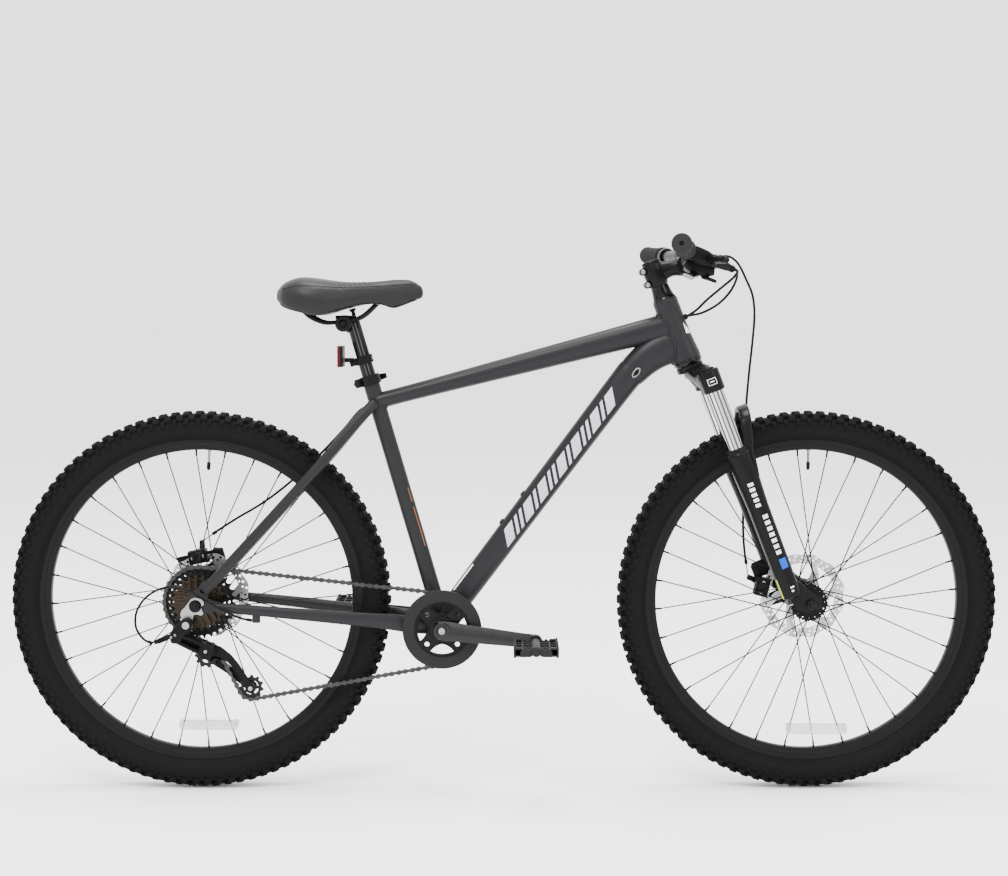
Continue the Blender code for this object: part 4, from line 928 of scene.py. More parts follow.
def make_dropout(side, word):
    """A rear fork end with its axle slot, and the welds of both stays to it."""
    slot = [(-5.6, -17), (-5.6, 0), (-4.9, 2.8), (-2.8, 4.9), (0, 5.6), (2.8, 4.9), (4.9, 2.8), (5.6, 0),
            (5.6, -17)]
    edge = [(14, -15), (24, -12), (45, -8), (47, -2), (45, 6), (30, 9.5), (22, 13), (24, 24), (34, 34),
            (28, 43), (16, 46), (4, 33), (-6, 24), (-12, 15), (-14.5, 5), (-15.4, -4), (-14, -12)]
    outline = [(REAR.x + x, REAR.z + z) for x, z in slot + edge]
    window = [circle((REAR + Vector((13, 0, 27))), 4.5, 16)]
    low, high = sorted((side * DROPOUT_IN, side * (DROPOUT_IN + 6)))
    piece("dropout_" + word, "frame", PAINT, [plate(outline, window, low, high)], bevel=1.0)


def down_tube_axes():
    """The direction up the down tube's straight part, and the direction square to it."""
    run = (Vector(DOWN_HIGH) - Vector(DOWN_LOW)).normalized()
    return run, Vector((-run.z, 0, run.x))


def make_frame_details():
    """The stay bridges, brake tab, cable stop, bottle bosses and cable port."""
    bridge = [rod(7, (-316, -50, 626), (-316, 50, 626)), rod(8, (-164, -36, 307), (-164, 36, 307))]
    piece("stay_bridges", "frame", PAINT, bridge)
    tab = [(-518, 398), (-529, 436), (-546, 436), (-549, 409), (-562, 402), (-586, 400), (-598, 421),
           (-614, 417), (-603, 388), (-572, 378), (-545, 370), (-528, 378)]
    piece("brake_tab", "frame", PAINT, [plate(tab, [], 65.3, 71.3)], bevel=1.2)
    stop = [box((-448, -66, 325.5), (7, 3.8, 8.3)),
            pipe(3.9, 2.3, (-455, -66, 322), (-441, -66, 321), 24)]
    piece("cable_stop", "frame", PAINT, stop, bevel=0.8)
    run, up = down_tube_axes()
    bosses, screws = [], []
    for share in (0.337, 0.478):
        foot = Vector(DOWN_LOW).lerp(Vector(DOWN_HIGH), share)
        bosses.append(lathe([(0, 20), (5.8, 20), (5.8, 25.4), (5, 26.6), (0, 26.6)], foot, up, 32))
        screws.append(bolt(foot + up * 25.0, up, 3.7, 1.9, 20))
    piece("bottle_bosses", "frame", PAINT, bosses)
    piece("bottle_screws", "frame", DARK_STEEL, screws)
    middle = Vector((240, 0, 768))
    line = []
    for k in range(40):
        angle = k * math.tau / 40
        spot = middle + run * math.cos(angle) * 9.5 + up * math.sin(angle) * 4.6
        line.append(SKINS["down"].ray_cast(spot - Y * 90, Y)[0] - Y * 0.3)
    piece("cable_port_rim", "frame", STEEL, [sweep(line, (1.1, 1.1), ellipse(8), closed=True)])
    centre = SKINS["down"].ray_cast(middle - Y * 90, Y)[0]
    plug = lathe([(0, -1.5), (4.2, -1.5), (4.2, 0.6), (3, 1.0), (0, 1.0)], centre, -Y, 28)
    piece("cable_port_grommet", "frame", PLASTIC, [plug])


# ---------------------------------------------------------------- seat


def make_seat_clamp():
    """The seat collar, its pin and its quick-release lever."""
    middle = seat(COLLAR_AT)
    collar = pipe(19, 15.2, middle - SEAT_UP * 9, middle + SEAT_UP * 9, 48, 1.2)
    ears = [box(middle - SEAT_FWD * 22.5 + Y * side * 6.2, (5.6, 4.8, 8), SEAT_FWD, SEAT_UP)
            for side in (-1, 1)]
    piece("seat_collar_band", "frame", SATIN, [collar, *ears], ["seat_collar"], bevel=1.0)
    pin = rod(3, middle - SEAT_FWD * 24 - Y * 17, middle - SEAT_FWD * 24 + Y * 15, 20)
    cap = lathe([(0, 0), (5.8, 0), (5.8, 5), (4.8, 6.4), (0, 6.8)], middle - SEAT_FWD * 24 - Y * 11.6, -Y, 24)
    piece("seat_clamp_pin", "frame", DARK_STEEL, [pin, cap])

    path = [(-24, 18), (-12, 23.5), (6, 25), (20, 22), (29, 16)]
    blade = swell([seat(COLLAR_AT, n, y) for n, y in path],
                  [(6, 2.6), (5.6, 2.4), (5.4, 2.3), (5.8, 2.3), (4.6, 1.8)], BOXY, SEAT_UP)
    hub = rod(6.5, seat(COLLAR_AT - 7, -24, 18), seat(COLLAR_AT + 7, -24, 18), ease=1.2)
    piece("seat_lever_blade", "seat_lever", SATIN, [blade, hub], ["seat_lever"])


def make_seatpost():
    """The seatpost with its clamp eye, and the rear reflector on its bracket."""
    post = rod(12.7, seat(272), seat(580), 56, 1.5)
    neck = swell([seat(545), seat(560), seat(572), CLAMP - SEAT_UP * 9],
                 [(12.6, 12.6), (12, 12), (10.5, 10), (10, 9)])
    eye = pipe(13, 4.8, CLAMP - Y * 17, CLAMP + Y * 17, 48, 0.8)
    piece("seatpost_tube", "seatpost", POST_BLACK, [post, neck, eye], ["seatpost"])
    head = box(seat(572, -1), (11, 11.5, 7), SEAT_FWD, SEAT_UP)
    piece("seatpost_head", "seatpost", FORGED, [head], bevel=2.0)

    band = pipe(16.6, 13.0, seat(501), seat(516), 40, 0.8)
    lug = box(seat(REFLECTOR_AT) - SEAT_FWD * 20, (7, 5, 5.5), SEAT_FWD, SEAT_UP)
    arm = box(seat(REFLECTOR_AT) - X * 27, (9, 5, 4))
    holder = plate([(-292.5, 778), (-292.5, 816), (-297, 816), (-297, 778)], [], -24.6, 24.6)
    piece("reflector_bracket", "seatpost", PLASTIC, [band, lug, arm, holder], ["rear_reflector"], bevel=0.8)
    screw = bolt(seat(REFLECTOR_AT) + SEAT_FWD * 15 - Y * 6, -Y, 2.8, 2, 16)
    piece("reflector_screw", "seatpost", STEEL, [screw])
    lens = box((-299.2, 0, 797), (3.4, 24.4, 19.4))
    piece("reflector_lens", "seatpost", RED, [lens], bevel=1.6)
    prisms = []
    for i in range(10):
        for j in range(8):
            spot = Vector((-302.4, -20.7 + i * 4.6, 781.0 + j * 4.6))
            prisms.append(lathe([(2.3, 0), (0, 1.0)], spot, -X, 6))
    piece("reflector_prisms", "seatpost", RED, prisms)


def saddle_rows(parts):
    """The saddle's length and its half width, top and skirt there, in fine steps from the rear."""
    lengths = spline([Vector((row[0], 0, 0)) for row in SADDLE], parts)
    return list(zip([p.x for p in lengths], spline([Vector(row[1:]) for row in SADDLE], parts)))


def saddle_spot(x, u):
    """A point on the saddle's upper skin at a length x, at a share u of its half width."""
    half, top, skirt = min(saddle_rows(12), key=lambda row: abs(row[0] - x))[1]
    share = next(low[1] + (high[1] - low[1]) * (u - low[0]) / (high[0] - low[0])
                 for low, high in zip(SADDLE_TOP, SADDLE_TOP[1:]) if low[0] <= u <= high[0])
    low_edge = skirt + SADDLE_RIM
    return Vector((x, half * u, low_edge + (top - low_edge) * share))


def make_saddle_cover():
    """A padded cover drawn tight over a moulded base."""
    rows = saddle_rows(8)
    rings = []
    for x, (half, top, skirt) in rows:
        rings.append([Vector((x, half * u * PADDING_SHRINK,
                              skirt + SADDLE_RIM + (top - skirt - SADDLE_RIM) * v * PADDING_SHRINK))
                      for u, v in SADDLE_TOP + SADDLE_UNDER])
    cover = piece("saddle_padding", "saddle", VINYL, [skin(rings)], ["saddle_cover"], angle=75)
    inflate(cover)
    base_rings = [[Vector((x, half * 0.86 * u, skirt + 3.4 + 1.6 * v)) for u, v in BOXY]
                  for x, (half, top, skirt) in rows if -404 < x < -158]
    piece("saddle_shell", "saddle", PLASTIC, [skin(base_rings)], ["saddle_base"], angle=60)
    return BVHTree.FromObject(cover, bpy.context.evaluated_depsgraph_get())


def make_saddle_trim(cover_skin):
    """A stitched seam down each side of the saddle, and below it a row of short raised strokes coloured light
    as painted highlights.
    """
    stitches, seams, flutes = [], [], []
    for side in (-1, 1):
        line = []
        for k in range(46):
            x = -398 + k * 5.2
            want = saddle_spot(x, side * (0.84 - 0.14 * (x + 398) / 240))
            hit = cover_skin.ray_cast(Vector((want.x, want.y, 990)) * MM, -Z)[0]
            if hit:
                line.append(hit / MM)
        smooth_line = spline(line, 4)
        seams.append(sweep([p - Z * 0.25 for p in even(smooth_line, 2.0)], (0.9, 0.9), ellipse(8)))
        threads = even(smooth_line, 3.2)
        for one, two in zip(threads, threads[1:]):
            run = (two - one).normalized()
            stitches.append(box((one + two) / 2 + Z * 0.35 + Y * side * 1.6, (1.05, 0.28, 0.28), run, Z))
        for k in range(7):
            line = []
            for step in range(6):
                start = Vector((-288 + 8.5 * k - 1.8 * step, side * 200, 919.5 + 0.7 * k + 1.8 * step))
                hit = cover_skin.ray_cast(start * MM, -Y * side)[0]
                if hit:
                    line.append(hit / MM)
            flutes.append(sweep(line, (0.95, 0.95), ellipse(8)))
    # The flutes take the lighter thread colour as a painted highlight on the edges of the cover's slits.
    piece("saddle_flutes_painted_highlight", "saddle", THREAD_AND_HIGHLIGHT, flutes)
    piece("saddle_seams", "saddle", VINYL, seams)
    piece("saddle_stitches", "saddle", THREAD_AND_HIGHLIGHT, stitches)


def make_saddle_rails():
    """The saddle's one bent rail wire, and the clamp that holds it."""
    right = [(-362, -38, 880), (-350, -33, 869), (-334, -25, 861), (-318, -22, 858), (-292, -22, 861),
             (-266, -22, 865.5), (-250, -19, 875), (-236, -14, 888), (-229, -8, 894)]
    route = right + [(-226, 0, 895.5)] + [(x, -y, z) for x, y, z in reversed(right)]
    piece("saddle_rail_wire", "saddle", FORGED, [wire(route, 3.9, 3, 16)], ["saddle_rails"])
    jaw = [(0, 0), (14.4, 0), (15.2, 0.8), (15.2, 8), (12.6, 10.4), (7, 10.6), (6, 9.4), (0, 9.4)]
    jaws = [lathe(jaw, CLAMP + Y * side * 18.6, Y * side, 40) for side in (-1, 1)]
    piece("saddle_clamp_jaws", "saddle", DARK_STEEL, jaws, bevel=0.5)
    bridge = box((-289, 0, 868.4), (17, 17, 3.0))
    upright = [rod(3.6, (-272, 0, 866), (-277, 0, 884), 20),
               nut((-275.6, 0, 879), Vector((-0.27, 0, 0.96)), 6.4, 5)]
    piece("saddle_clamp_bridge", "saddle", FORGED, [bridge, *upright], bevel=1.0)
    pin = rod(4, CLAMP - Y * 34, CLAMP + Y * 34, 20)
    nuts = [nut(CLAMP + Y * side * 28.8, Y * side, 6.5, 4.4) for side in (-1, 1)]
    piece("saddle_clamp_bolt", "saddle", DARK_STEEL, [pin, *nuts], bevel=0.3)


def inflate(cover):
    """Lets the padding swell against its own cover, and limits how far it goes."""
    scene = bpy.context.scene
    solid = cover.modifiers.new("Remesh", "REMESH")
    solid.mode = "VOXEL"
    solid.voxel_size = VOXEL * MM
    rest = bpy.data.meshes.new_from_object(cover.evaluated_get(bpy.context.evaluated_depsgraph_get()))
    rest.materials.clear()
    rest.materials.append(VINYL)
    cover.modifiers.clear()
    cover.data = rest
    start = [v.co.copy() for v in rest.vertices]
    cloth = cover.modifiers.new("Cloth", "CLOTH")
    cloth.settings.quality = 6
    cloth.settings.use_pressure = True
    cloth.settings.uniform_pressure_force = SWELL_PRESSURE
    cloth.settings.effector_weights.gravity = 0
    cloth.point_cache.frame_start, cloth.point_cache.frame_end = 1, SWELL_FRAMES
    for number in range(1, SWELL_FRAMES + 1):
        scene.frame_set(number)
    shape = cover.evaluated_get(bpy.context.evaluated_depsgraph_get()).to_mesh()
    swollen = [v.co.copy() for v in shape.vertices]
    cover.modifiers.clear()
    scene.frame_set(1)
    for vertex, before, after in zip(cover.data.vertices, start, swollen):
        push = after - before
        most = SWELL_LIMIT * MM
        vertex.co = before + (push if push.length < most else push.normalized() * most)
    finer = cover.modifiers.new("Subdivision", "SUBSURF")
    finer.levels = 1
    finer.render_levels = 1
    cover.data.shade_smooth()


# ---------------------------------------------------------------- fork


def make_headset():
    """The headset's two covers, and the bottom bracket's two cups."""
    upper = [(15.4, 114.2), (21.6, 114.2), (22, 115.2), (22, 117.4), (20.6, 119.2), (19.2, 123), (17.6, 131),
             (16.6, 139), (16.4, 143), (15.4, 143)]
    lower = [(15.4, -0.3), (26.2, -0.3), (26.6, -1), (26.6, -5.4), (24.4, -9.6), (15.4, -10)]
    piece("headset_cover", "frame", GLOSS, [lathe(upper, HEAD_LOW, STEER_UP, 64)], ["headset_upper"])
    piece("headset_cup", "frame", GLOSS, [lathe(lower, HEAD_LOW, STEER_UP, 64)], ["headset_lower"])
    cups = []
    for side in (-1, 1):
        cups.append(pipe(20.4, 9.4, BB + Y * side * 36.6, BB + Y * side * 38.8, 48))
        cups += [box(BB + Y * side * 38.4 + turn, (2.4, 1.2, 2.6), turn.normalized(),
                     Y.cross(turn.normalized()))
                 for turn in spread(X, Y, 17.2, 8)]
    piece("bottom_bracket_cups", "frame", DARK_STEEL, cups, ["bottom_bracket"], bevel=0.4)


def make_crown():
    """The fork's crown, steerer, top caps and chromed stanchions."""
    steerer = rod(14.3, steer(-24, 0), steer(184, 0), 40)
    race = lathe([(14, -22), (24, -22), (25, -20), (25, -11.5), (24, -10.6), (14, -10.6)],
                 HEAD_LOW, STEER_UP, 48)
    right = [(-68, -49, 21), (-60, -45, 18), (-46, -40, 14), (-26, -28, 9), (0, -24, 5)]
    path = right + [(-y, s, n) for y, s, n in reversed(right[:-1])]
    sizes = [(15, 18), (18, 18), (17.5, 14.5), (19, 11.5), (20, 11.5), (19, 11.5), (17.5, 14.5), (18, 18),
             (15, 18)]
    bridge = swell([steer(s, n, y) for y, s, n in path], sizes, BOXY, STEER_FWD)
    socket = [(15.2, -67), (19.4, -67), (20, -66), (20, -30), (18.6, -27.4), (16, -27), (0, -27), (0, -32),
              (15.2, -32)]
    sockets = [lathe(socket, steer(0, LEG_FORWARD, y), STEER_UP, 56) for y in (-LEG_Y, LEG_Y)]
    piece("fork_crown_casting", "steering", SATIN, [bridge, race, *sockets], ["fork_crown"], bevel=0.6)
    piece("fork_steerer", "steering", DARK_STEEL, [steerer])
    cap = [(0, 0), (12, 0), (13.4, 1), (13.4, 3), (11.5, 5), (7, 5), (7, 3.4), (0, 3.4)]
    caps = [lathe(cap, steer(-28.4, LEG_FORWARD, y), STEER_UP, 40) for y in (-LEG_Y, LEG_Y)]
    piece("fork_top_caps", "steering", PLASTIC, caps, bevel=0.3)
    for name, y in (("stanchion_right", -LEG_Y), ("stanchion_left", LEG_Y)):
        tube = pipe(STANCHION_R, 12.5, steer(-33.5, LEG_FORWARD, y), steer(-305, LEG_FORWARD, y), 64)
        piece(name + "_tube", "steering", CHROME, [tube], [name])
    make_crown_mark()


def make_crown_mark():
    """A plain outlined rectangle with a short bar in it, on the outer side of each fork socket."""
    for side, word in ((-1, "right"), (1, "left")):
        base = steer(0, LEG_FORWARD, side * LEG_Y)
        edges = []
        for s_from, s_to, a_from, a_to in ((-54, -42, -0.42, -0.37), (-54, -42, 0.37, 0.42),
                                           (-43, -42, -0.42, 0.42), (-54, -53, -0.42, 0.42),
                                           (-49, -47, -0.2, 0.2)):
            arc = [a_from + (a_to - a_from) * k / 10 for k in range(11)]
            around = [(Y * side * math.cos(a) + STEER_FWD * math.sin(a)) * 20.06 for a in arc]
            low = [base + STEER_UP * s_from + d for d in around]
            high = [base + STEER_UP * s_to + d for d in around]
            edges.append(ribbon(low, high, Y * side, 0.08))
        piece("crown_mark_" + word, "steering", WHITE_INK, edges)


def make_lowers():
    """The fork's sliding legs and arch, with their seals, dropouts and brake tabs."""
    mouth = [(0, -420), (15.15, -420), (15.15, SEAL - 2), (18.6, SEAL - 2), (19.6, SEAL - 3.5),
             (19.6, SEAL - 8), (22.2, SEAL - 11)]
    outside = [(radius, height) for height, radius in LEG_TAPER]
    profile = mouth + outside + [(16.5, -464.5), (12, -467.6), (0, -468)]
    legs = [lathe(profile, steer(0, LEG_FORWARD, y), STEER_UP, 72) for y in (-LEG_Y, LEG_Y)]
    right = [(-63, -268, 24), (-62.5, -240, 29), (-62, -212, 34), (-60.5, -190, 40), (-57, -172, 47),
             (-50, -153, 53), (-42, -137, 58), (-30, -127, 61), (-18, -121.5, 62.4), (0, -119, 63)]
    arch = right + [(-y, s, n) for y, s, n in reversed(right[:-1])]
    base = [(10, 13), (13, 13.5), (13, 12), (10.5, 8)]
    sizes = base + [(9.6, 6)] * 4 + [(10, 5.2)] * 3 + [(9.6, 6)] * 4 + base[::-1]
    bow = swell([steer(s, n, y) for y, s, n in arch], sizes, BOXY, STEER_FWD)
    piece("fork_lower_castings", "lowers", SATIN, [*legs, bow], ["fork_lowers"])
    seal = [(15.1, SEAL - 6), (15.1, SEAL), (16.6, SEAL), (17.2, SEAL - 1), (18.4, SEAL - 1.4),
            (19.2, SEAL - 2.2), (19.2, SEAL - 6)]
    seals = [lathe(seal, steer(0, LEG_FORWARD, y), STEER_UP, 56) for y in (-LEG_Y, LEG_Y)]
    piece("fork_dust_seals", "lowers", PLASTIC, seals)
    make_fork_feet()
    make_leg_graphics()


def make_fork_feet():
    """The fork's dropouts, its brake tabs and the bolt up its right leg."""
    for side, word in ((-1, "right"), (1, "left")):
        outline = [(-5, -14), (-5, 0), (-3.6, 3.6), (0, 5), (3.6, 3.6), (5, 0), (5, -14), (11, -15),
                   (17, -10), (20, 4), (12, 18), (-8, 50), (-20, 55), (-28, 52), (-36, 38), (-32, 14),
                   (-25, 0), (-17, -8), (-10, -14)]
        points = [FRONT + STEER_FWD * n + STEER_UP * s for n, s in outline]
        low, high = sorted((side * 50.3, side * 58))
        piece("fork_dropout_" + word, "lowers", SATIN, [plate([(p.x, p.z) for p in points], [], low, high)],
              bevel=1.6)
    tabs = []
    for outline in ([(-403, 20), (-405, -18), (-434, -18), (-436, 20)],
                    [(-468, 20), (-470, -22), (-492, -22), (-496, 30)]):
        spots = [steer(s, n) for s, n in outline]
        tabs.append(plate([(p.x, p.z) for p in spots], [], 52.8, 58.8))
    piece("fork_brake_tabs", "lowers", SATIN, tabs, bevel=1.2)
    piece("fork_foot_bolts", "lowers", STEEL, [bolt(steer(-478, LEG_FORWARD - 6, -60), -STEER_UP, 5, 3)])


def leg_radius(height):
    """A fork leg's outer radius at a height up the steering axis."""
    for (high, wide), (low, narrow) in zip(LEG_TAPER, LEG_TAPER[1:]):
        if low <= height <= high:
            return wide + (narrow - wide) * (high - height) / (high - low)
    return LEG_TAPER[-1][1]


def leg_patch(side, top, bottom, start, end, steps=28, wide=10):
    """A thin layer wrapped on a fork leg between two heights and two angles forward of straight out."""
    base = steer(0, LEG_FORWARD, side * LEG_Y)
    rings = []
    for k in range(steps + 1):
        height = top + (bottom - top) * k / steps
        radius = leg_radius(height) + 0.05
        outer, inner = [], []
        for j in range(wide + 1):
            angle = start + (end - start) * j / wide
            out = Y * side * math.cos(angle) + STEER_FWD * math.sin(angle)
            outer.append(base + STEER_UP * height + out * (radius + 0.12))
            inner.append(base + STEER_UP * height + out * (radius - 0.3))
        rings.append(outer + inner[::-1])
    return skin(rings)


def make_leg_graphics():
    """Plain bars, a blue patch, a lime line and two dashes on each fork leg."""
    for side, word in ((-1, "right"), (1, "left")):
        bars = [leg_patch(side, -242 - k * 10, -248 - k * 10, -0.28, 0.2) for k in range(5)]
        bars += [leg_patch(side, -305 - k * 11.5, -312 - k * 11.5, -0.02, 0.5) for k in range(7)]
        piece("leg_bars_" + word, "lowers", WHITE_INK, bars)
        piece("leg_blue_" + word, "lowers", BLUE_INK, [leg_patch(side, -390, -409, -0.02, 0.72)])
        piece("leg_lime_" + word, "lowers", LIME_INK, [leg_patch(side, -425, -462, -1.25, -1.02)])
        dashes = [leg_patch(side, -444, -447, 0.1, 0.5), leg_patch(side, -451, -454, 0.1, 0.34)]
        piece("leg_small_" + word, "lowers", WHITE_INK, dashes)


# ---------------------------------------------------------------- handlebar and controls


def bar_shell(points):
    """A half shell of the stem's bar clamp, from points forward and up of the bar's centre."""
    spots = [BAR + STEER_FWD * u + STEER_UP * v for u, v in points]
    return plate([(p.x, p.z) for p in spots], [], -22, 22)


def make_stem():
    """The stem's clamps and neck, its face plate, bolts and top cap."""
    clamp_at = 172.5 * math.cos(HEAD_LEAN)
    rear = lathe([(14.5, 143.4), (16.2, 143.4), (17.4, 144.6), (19.2, 152), (20, 162), (20, 172), (19.2, 181),
                  (17.6, 185.4), (16.2, 186), (14.5, 186)], HEAD_LOW, STEER_UP, 56)
    neck = swell([steer(164, 2), steer(166, 16), steer(165, 32), steer(clamp_at, 50)],
                 [(17, 20), (14.6, 17.5), (14, 14.6), (18, 17)], soft_box(0.9), Y)
    turns = [math.pi / 2 + k * math.pi / 20 for k in range(21)]
    cross = [(21 * math.cos(a), 21 * math.sin(a)) for a in turns]
    cross += [(16.1 * math.cos(a), 16.1 * math.sin(a)) for a in reversed(turns)]
    back = bar_shell(cross)
    front = bar_shell([(-u + 0.6, v) for u, v in cross][::-1])
    corners = [(side, lift) for side in (-1, 1) for lift in (-1, 1)]
    lugs = [box(BAR - STEER_FWD * 3 + STEER_UP * 19.4 * lift + Y * 15.5 * side, (3, 6, 3.4),
                STEER_FWD, STEER_UP) for side, lift in corners]
    ears = [rod(6.5, steer(s, -20, -16), steer(s, -20, 16)) for s in (152, 177)]
    piece("stem_body", "steering", SATIN, [rear, neck, back, *ears, *lugs], ["stem"], bevel=1.0)
    plate_lugs = [box(BAR + STEER_FWD * 4.4 + STEER_UP * 19.4 * lift + Y * 15.5 * side, (3, 6, 3.4),
                      STEER_FWD, STEER_UP) for side, lift in corners]
    piece("stem_face", "steering", SATIN, [front, *plate_lugs], ["stem_faceplate"], bevel=1.0)
    heads = [bolt(BAR + STEER_FWD * 7.4 + STEER_UP * 19.2 * lift + Y * 15.5 * side, STEER_FWD, 3.4, 2.6, 20)
             for side, lift in corners]
    heads += [bolt(steer(s, -20, -16), -Y, 4.2, 1.6, 20) for s in (152, 177)]
    piece("stem_bolts", "steering", STEEL, heads)
    cap = lathe([(0, 186.2), (17, 186.2), (17.4, 187), (17.2, 189), (15.6, 191.2), (5, 191.4),
                 (4.6, 190), (0, 190)], HEAD_LOW, STEER_UP, 48)
    piece("stem_top_cap", "steering", SATIN, [cap], ["stem_cap"])


def make_bar():
    """The handlebar and its two ribbed grips."""
    right = [(bar_point(-336), 11.1), (bar_point(-230), 11.1), (bar_point(-118), 11.1),
             (Vector((327, -92, 978)), 11.3), (Vector((331, -66, 969)), 12.5),
             (Vector((333.5, -44, 964.6)), 14.5), (BAR - Y * 28, 15.9)]
    left = [(Vector((p.x, -p.y, p.z)), r) for p, r in reversed(right)]
    route = right + left
    tube = swell([p for p, r in route], [(r, r) for p, r in route], ellipse(48), X)
    piece("handlebar_tube", "steering", SATIN, [tube], ["handlebar"])
    for name, side in (("grip_right", -1), ("grip_left", 1)):
        start = bar_point(side * GRIP_IN)
        axis = (bar_point(side * 300) - start).normalized()
        core = [(11.2, 0), (17.0, 0), (17.9, 1), (17.9, 4.4), (16.6, 6.4), (14.9, 8)]
        for k in range(27):
            h = 10 + k * 4.0
            core += [(14.9, h), (16.0, h + 0.9), (16.0, h + 2.2), (14.9, h + 3.1)]
        core += [(15.2, 119), (16.8, 122), (17.2, 126), (15.6, 130), (12, 131), (4, 131), (4, 128),
                 (11.2, 127)]
        piece(name + "_sleeve", "steering", GRIP, [lathe(core, start, axis, 56)], [name], angle=50)
        plug = lathe([(0, 127.4), (5, 127.4), (5, 130.4), (3.4, 130.6), (2.6, 129.2), (0, 129.2)], start,
                     axis, 24)
        piece(name + "_plug", "steering", PLASTIC, [plug])


def make_brake_perch(word, side):
    """A brake lever's clamp and body on the bar, with its cable adjuster and screws."""
    ahead, axis = lever_axes(side)
    mount, pivot = bar_point(side * LEVER_AT), lever_pivot(side)
    inward = -Y * side
    clamp = pipe(15.6, 11.2, bar_point(side * (LEVER_AT - 9)), bar_point(side * (LEVER_AT + 9)), 40, 1.0)
    arm = swell([mount + ahead * 12, mount + ahead * 28 + inward * 3, pivot + ahead * 1 + inward * 10],
                [(12, 13), (13.5, 12.5), (11, 10.5)], BOXY, Y)
    ears = [box(pivot + axis * 7.2 * lift, (8, 7.4, 1.5), ahead, axis) for lift in (-1, 1)]
    barrel = swell([pivot + ahead * 2 + inward * 12, pivot + ahead * 20 + inward * 25,
                    pivot + ahead * 40 + inward * 38], [(9.5, 10), (8, 9), (6, 7)], soft_box(0.8))
    piece("brake_perch_body_" + word, "steering", FORGED, [clamp, arm, *ears, barrel],
          ["brake_perch_" + word], bevel=0.8)
    run = (ahead * 37 + inward * 24.5).normalized()
    profile = [(2.6, -1), (5.5, -1)]
    for k in range(7):
        profile += [(6.3, k * 2.0), (6.3, k * 2.0 + 1.1), (5.5, k * 2.0 + 1.5)]
    profile += [(4.2, 14.4), (3.2, 17.5), (2.6, 17.5)]
    adjuster = lathe(profile, pivot + ahead * 38 + inward * 37.2, run, 24)
    piece("brake_adjuster_" + word, "steering", PLASTIC, [adjuster])
    pins = [bolt(pivot + axis * 8.2, axis, 4, 1.6, 20), rod(2.6, pivot - axis * 9.4, pivot + axis * 9, 16),
            bolt(mount + axis * 14.6 + ahead * 4, axis, 3.2, 2, 16)]
    piece("brake_pins_" + word, "steering", STEEL, pins)


def make_brake_lever(word, side):
    """A brake lever's blade, which ends in a ball."""
    ahead, axis = lever_axes(side)
    pivot, outward = lever_pivot(side), Y * side
    route = [pivot + outward * 2, pivot + ahead * 8 + outward * 22, pivot + ahead * 6 + outward * 60,
             pivot + ahead * 9 + outward * 98, pivot + ahead * 16 + outward * 116]
    blade = swell(route, [(5, 5.6), (4, 6.5), (3.2, 7), (3.2, 6.8), (3.4, 5)], BOXY, ahead)
    boss = rod(6.3, pivot - axis * 5.2, pivot + axis * 5.2, 32, 0.8)
    tip = lathe([(0, -4.8), (3.4, -3.6), (4.8, 0), (3.4, 3.6), (0, 4.8)], route[-1], axis, 24)
    name = "brake_lever_" + word
    piece("brake_lever_blade_" + word, name, FORGED, [blade, boss, tip], [name])


def make_shifter():
    """The trigger shifter with its two levers."""
    clamp = pipe(15.6, 11.2, bar_point(-147), bar_point(-159), 40, 1.0)
    shell = swell([(314, -150, 966), (330, -149, 956), (350, -148, 950), (364, -147, 949)],
                  [(13, 8), (18, 11.5), (17, 11), (11, 8)], soft_box(0.7), Y)
    piece("shifter_housing", "steering", PLASTIC, [clamp, shell], ["shifter"], bevel=0.6)
    foot, run = Vector((351, -140, 953)), Vector((14, 19, 2)).normalized()
    profile = [(2.4, 0)]
    for k in range(6):
        profile += [(5.0, k * 2.2 + 0.2), (5.0, k * 2.2 + 1.4), (4.2, k * 2.2 + 1.8)]
    piece("shifter_adjuster", "steering", PLASTIC, [lathe(profile + [(2.4, 14.5)], foot, run, 24)])
    screw = bolt(Vector((341, -148, 964)), Vector((0.35, 0, 0.94)), 5.2, 1.6, 24)
    piece("shifter_screw", "steering", STEEL, [screw])
    ahead = lever_axes(-1)[0]
    thumb = swell([SHIFT_PIVOT, SHIFT_PIVOT + Vector((-8, -22, -3)), SHIFT_PIVOT + Vector((-16, -42, -5))],
                  [(8, 4), (7, 3), (9.5, 3.4)], BOXY, ahead)
    hinge = rod(6, SHIFT_PIVOT + Vector((-1, 4, 9)), SHIFT_PIVOT + Vector((2, 0, -4)), 28, 1.0)
    piece("shift_lever_paddle", "shift_lever", STEEL, [thumb, hinge], ["shift_lever"])
    steps = ((-3, 5, 9), (0, 0, 0), (6, -14, -3), (10, -30, -6))
    release = swell([RELEASE_PIVOT + Vector(step) for step in steps],
                    [(6, 5), (6, 4), (6, 3), (7, 3)], BOXY, ahead)
    piece("release_lever_trigger", "release_lever", PLASTIC, [release], ["release_lever"])


# ---------------------------------------------------------------- drivetrain


def belt(circles):
    """The closed line round circles of (centre, radius, sense), with a sense of 1 for anticlockwise."""
    points, lines = [], []
    for (one, r1, s1), (two, r2, s2) in zip(circles, circles[1:] + circles[:1]):
        gap = two - one
        flat = math.hypot(gap.x, gap.z)
        angle = math.atan2(gap.z, gap.x) - math.asin((s2 * r2 - s1 * r1) / flat)
        left = Vector((-math.sin(angle), 0, math.cos(angle)))
        lines.append((one - left * s1 * r1, two - left * s2 * r2))
    for index, (centre, radius, sense) in enumerate(circles):
        arrive, leave = lines[index - 1][1] - centre, lines[index][0] - centre
        start = math.atan2(arrive.z, arrive.x)
        turn = (math.atan2(leave.z, leave.x) - start) * sense % math.tau
        steps = max(2, math.ceil(turn / math.radians(4)))
        for k in range(steps + 1):
            angle = start + sense * turn * k / steps
            points.append(centre + Vector((radius * math.cos(angle), 0, radius * math.sin(angle))))
    return points


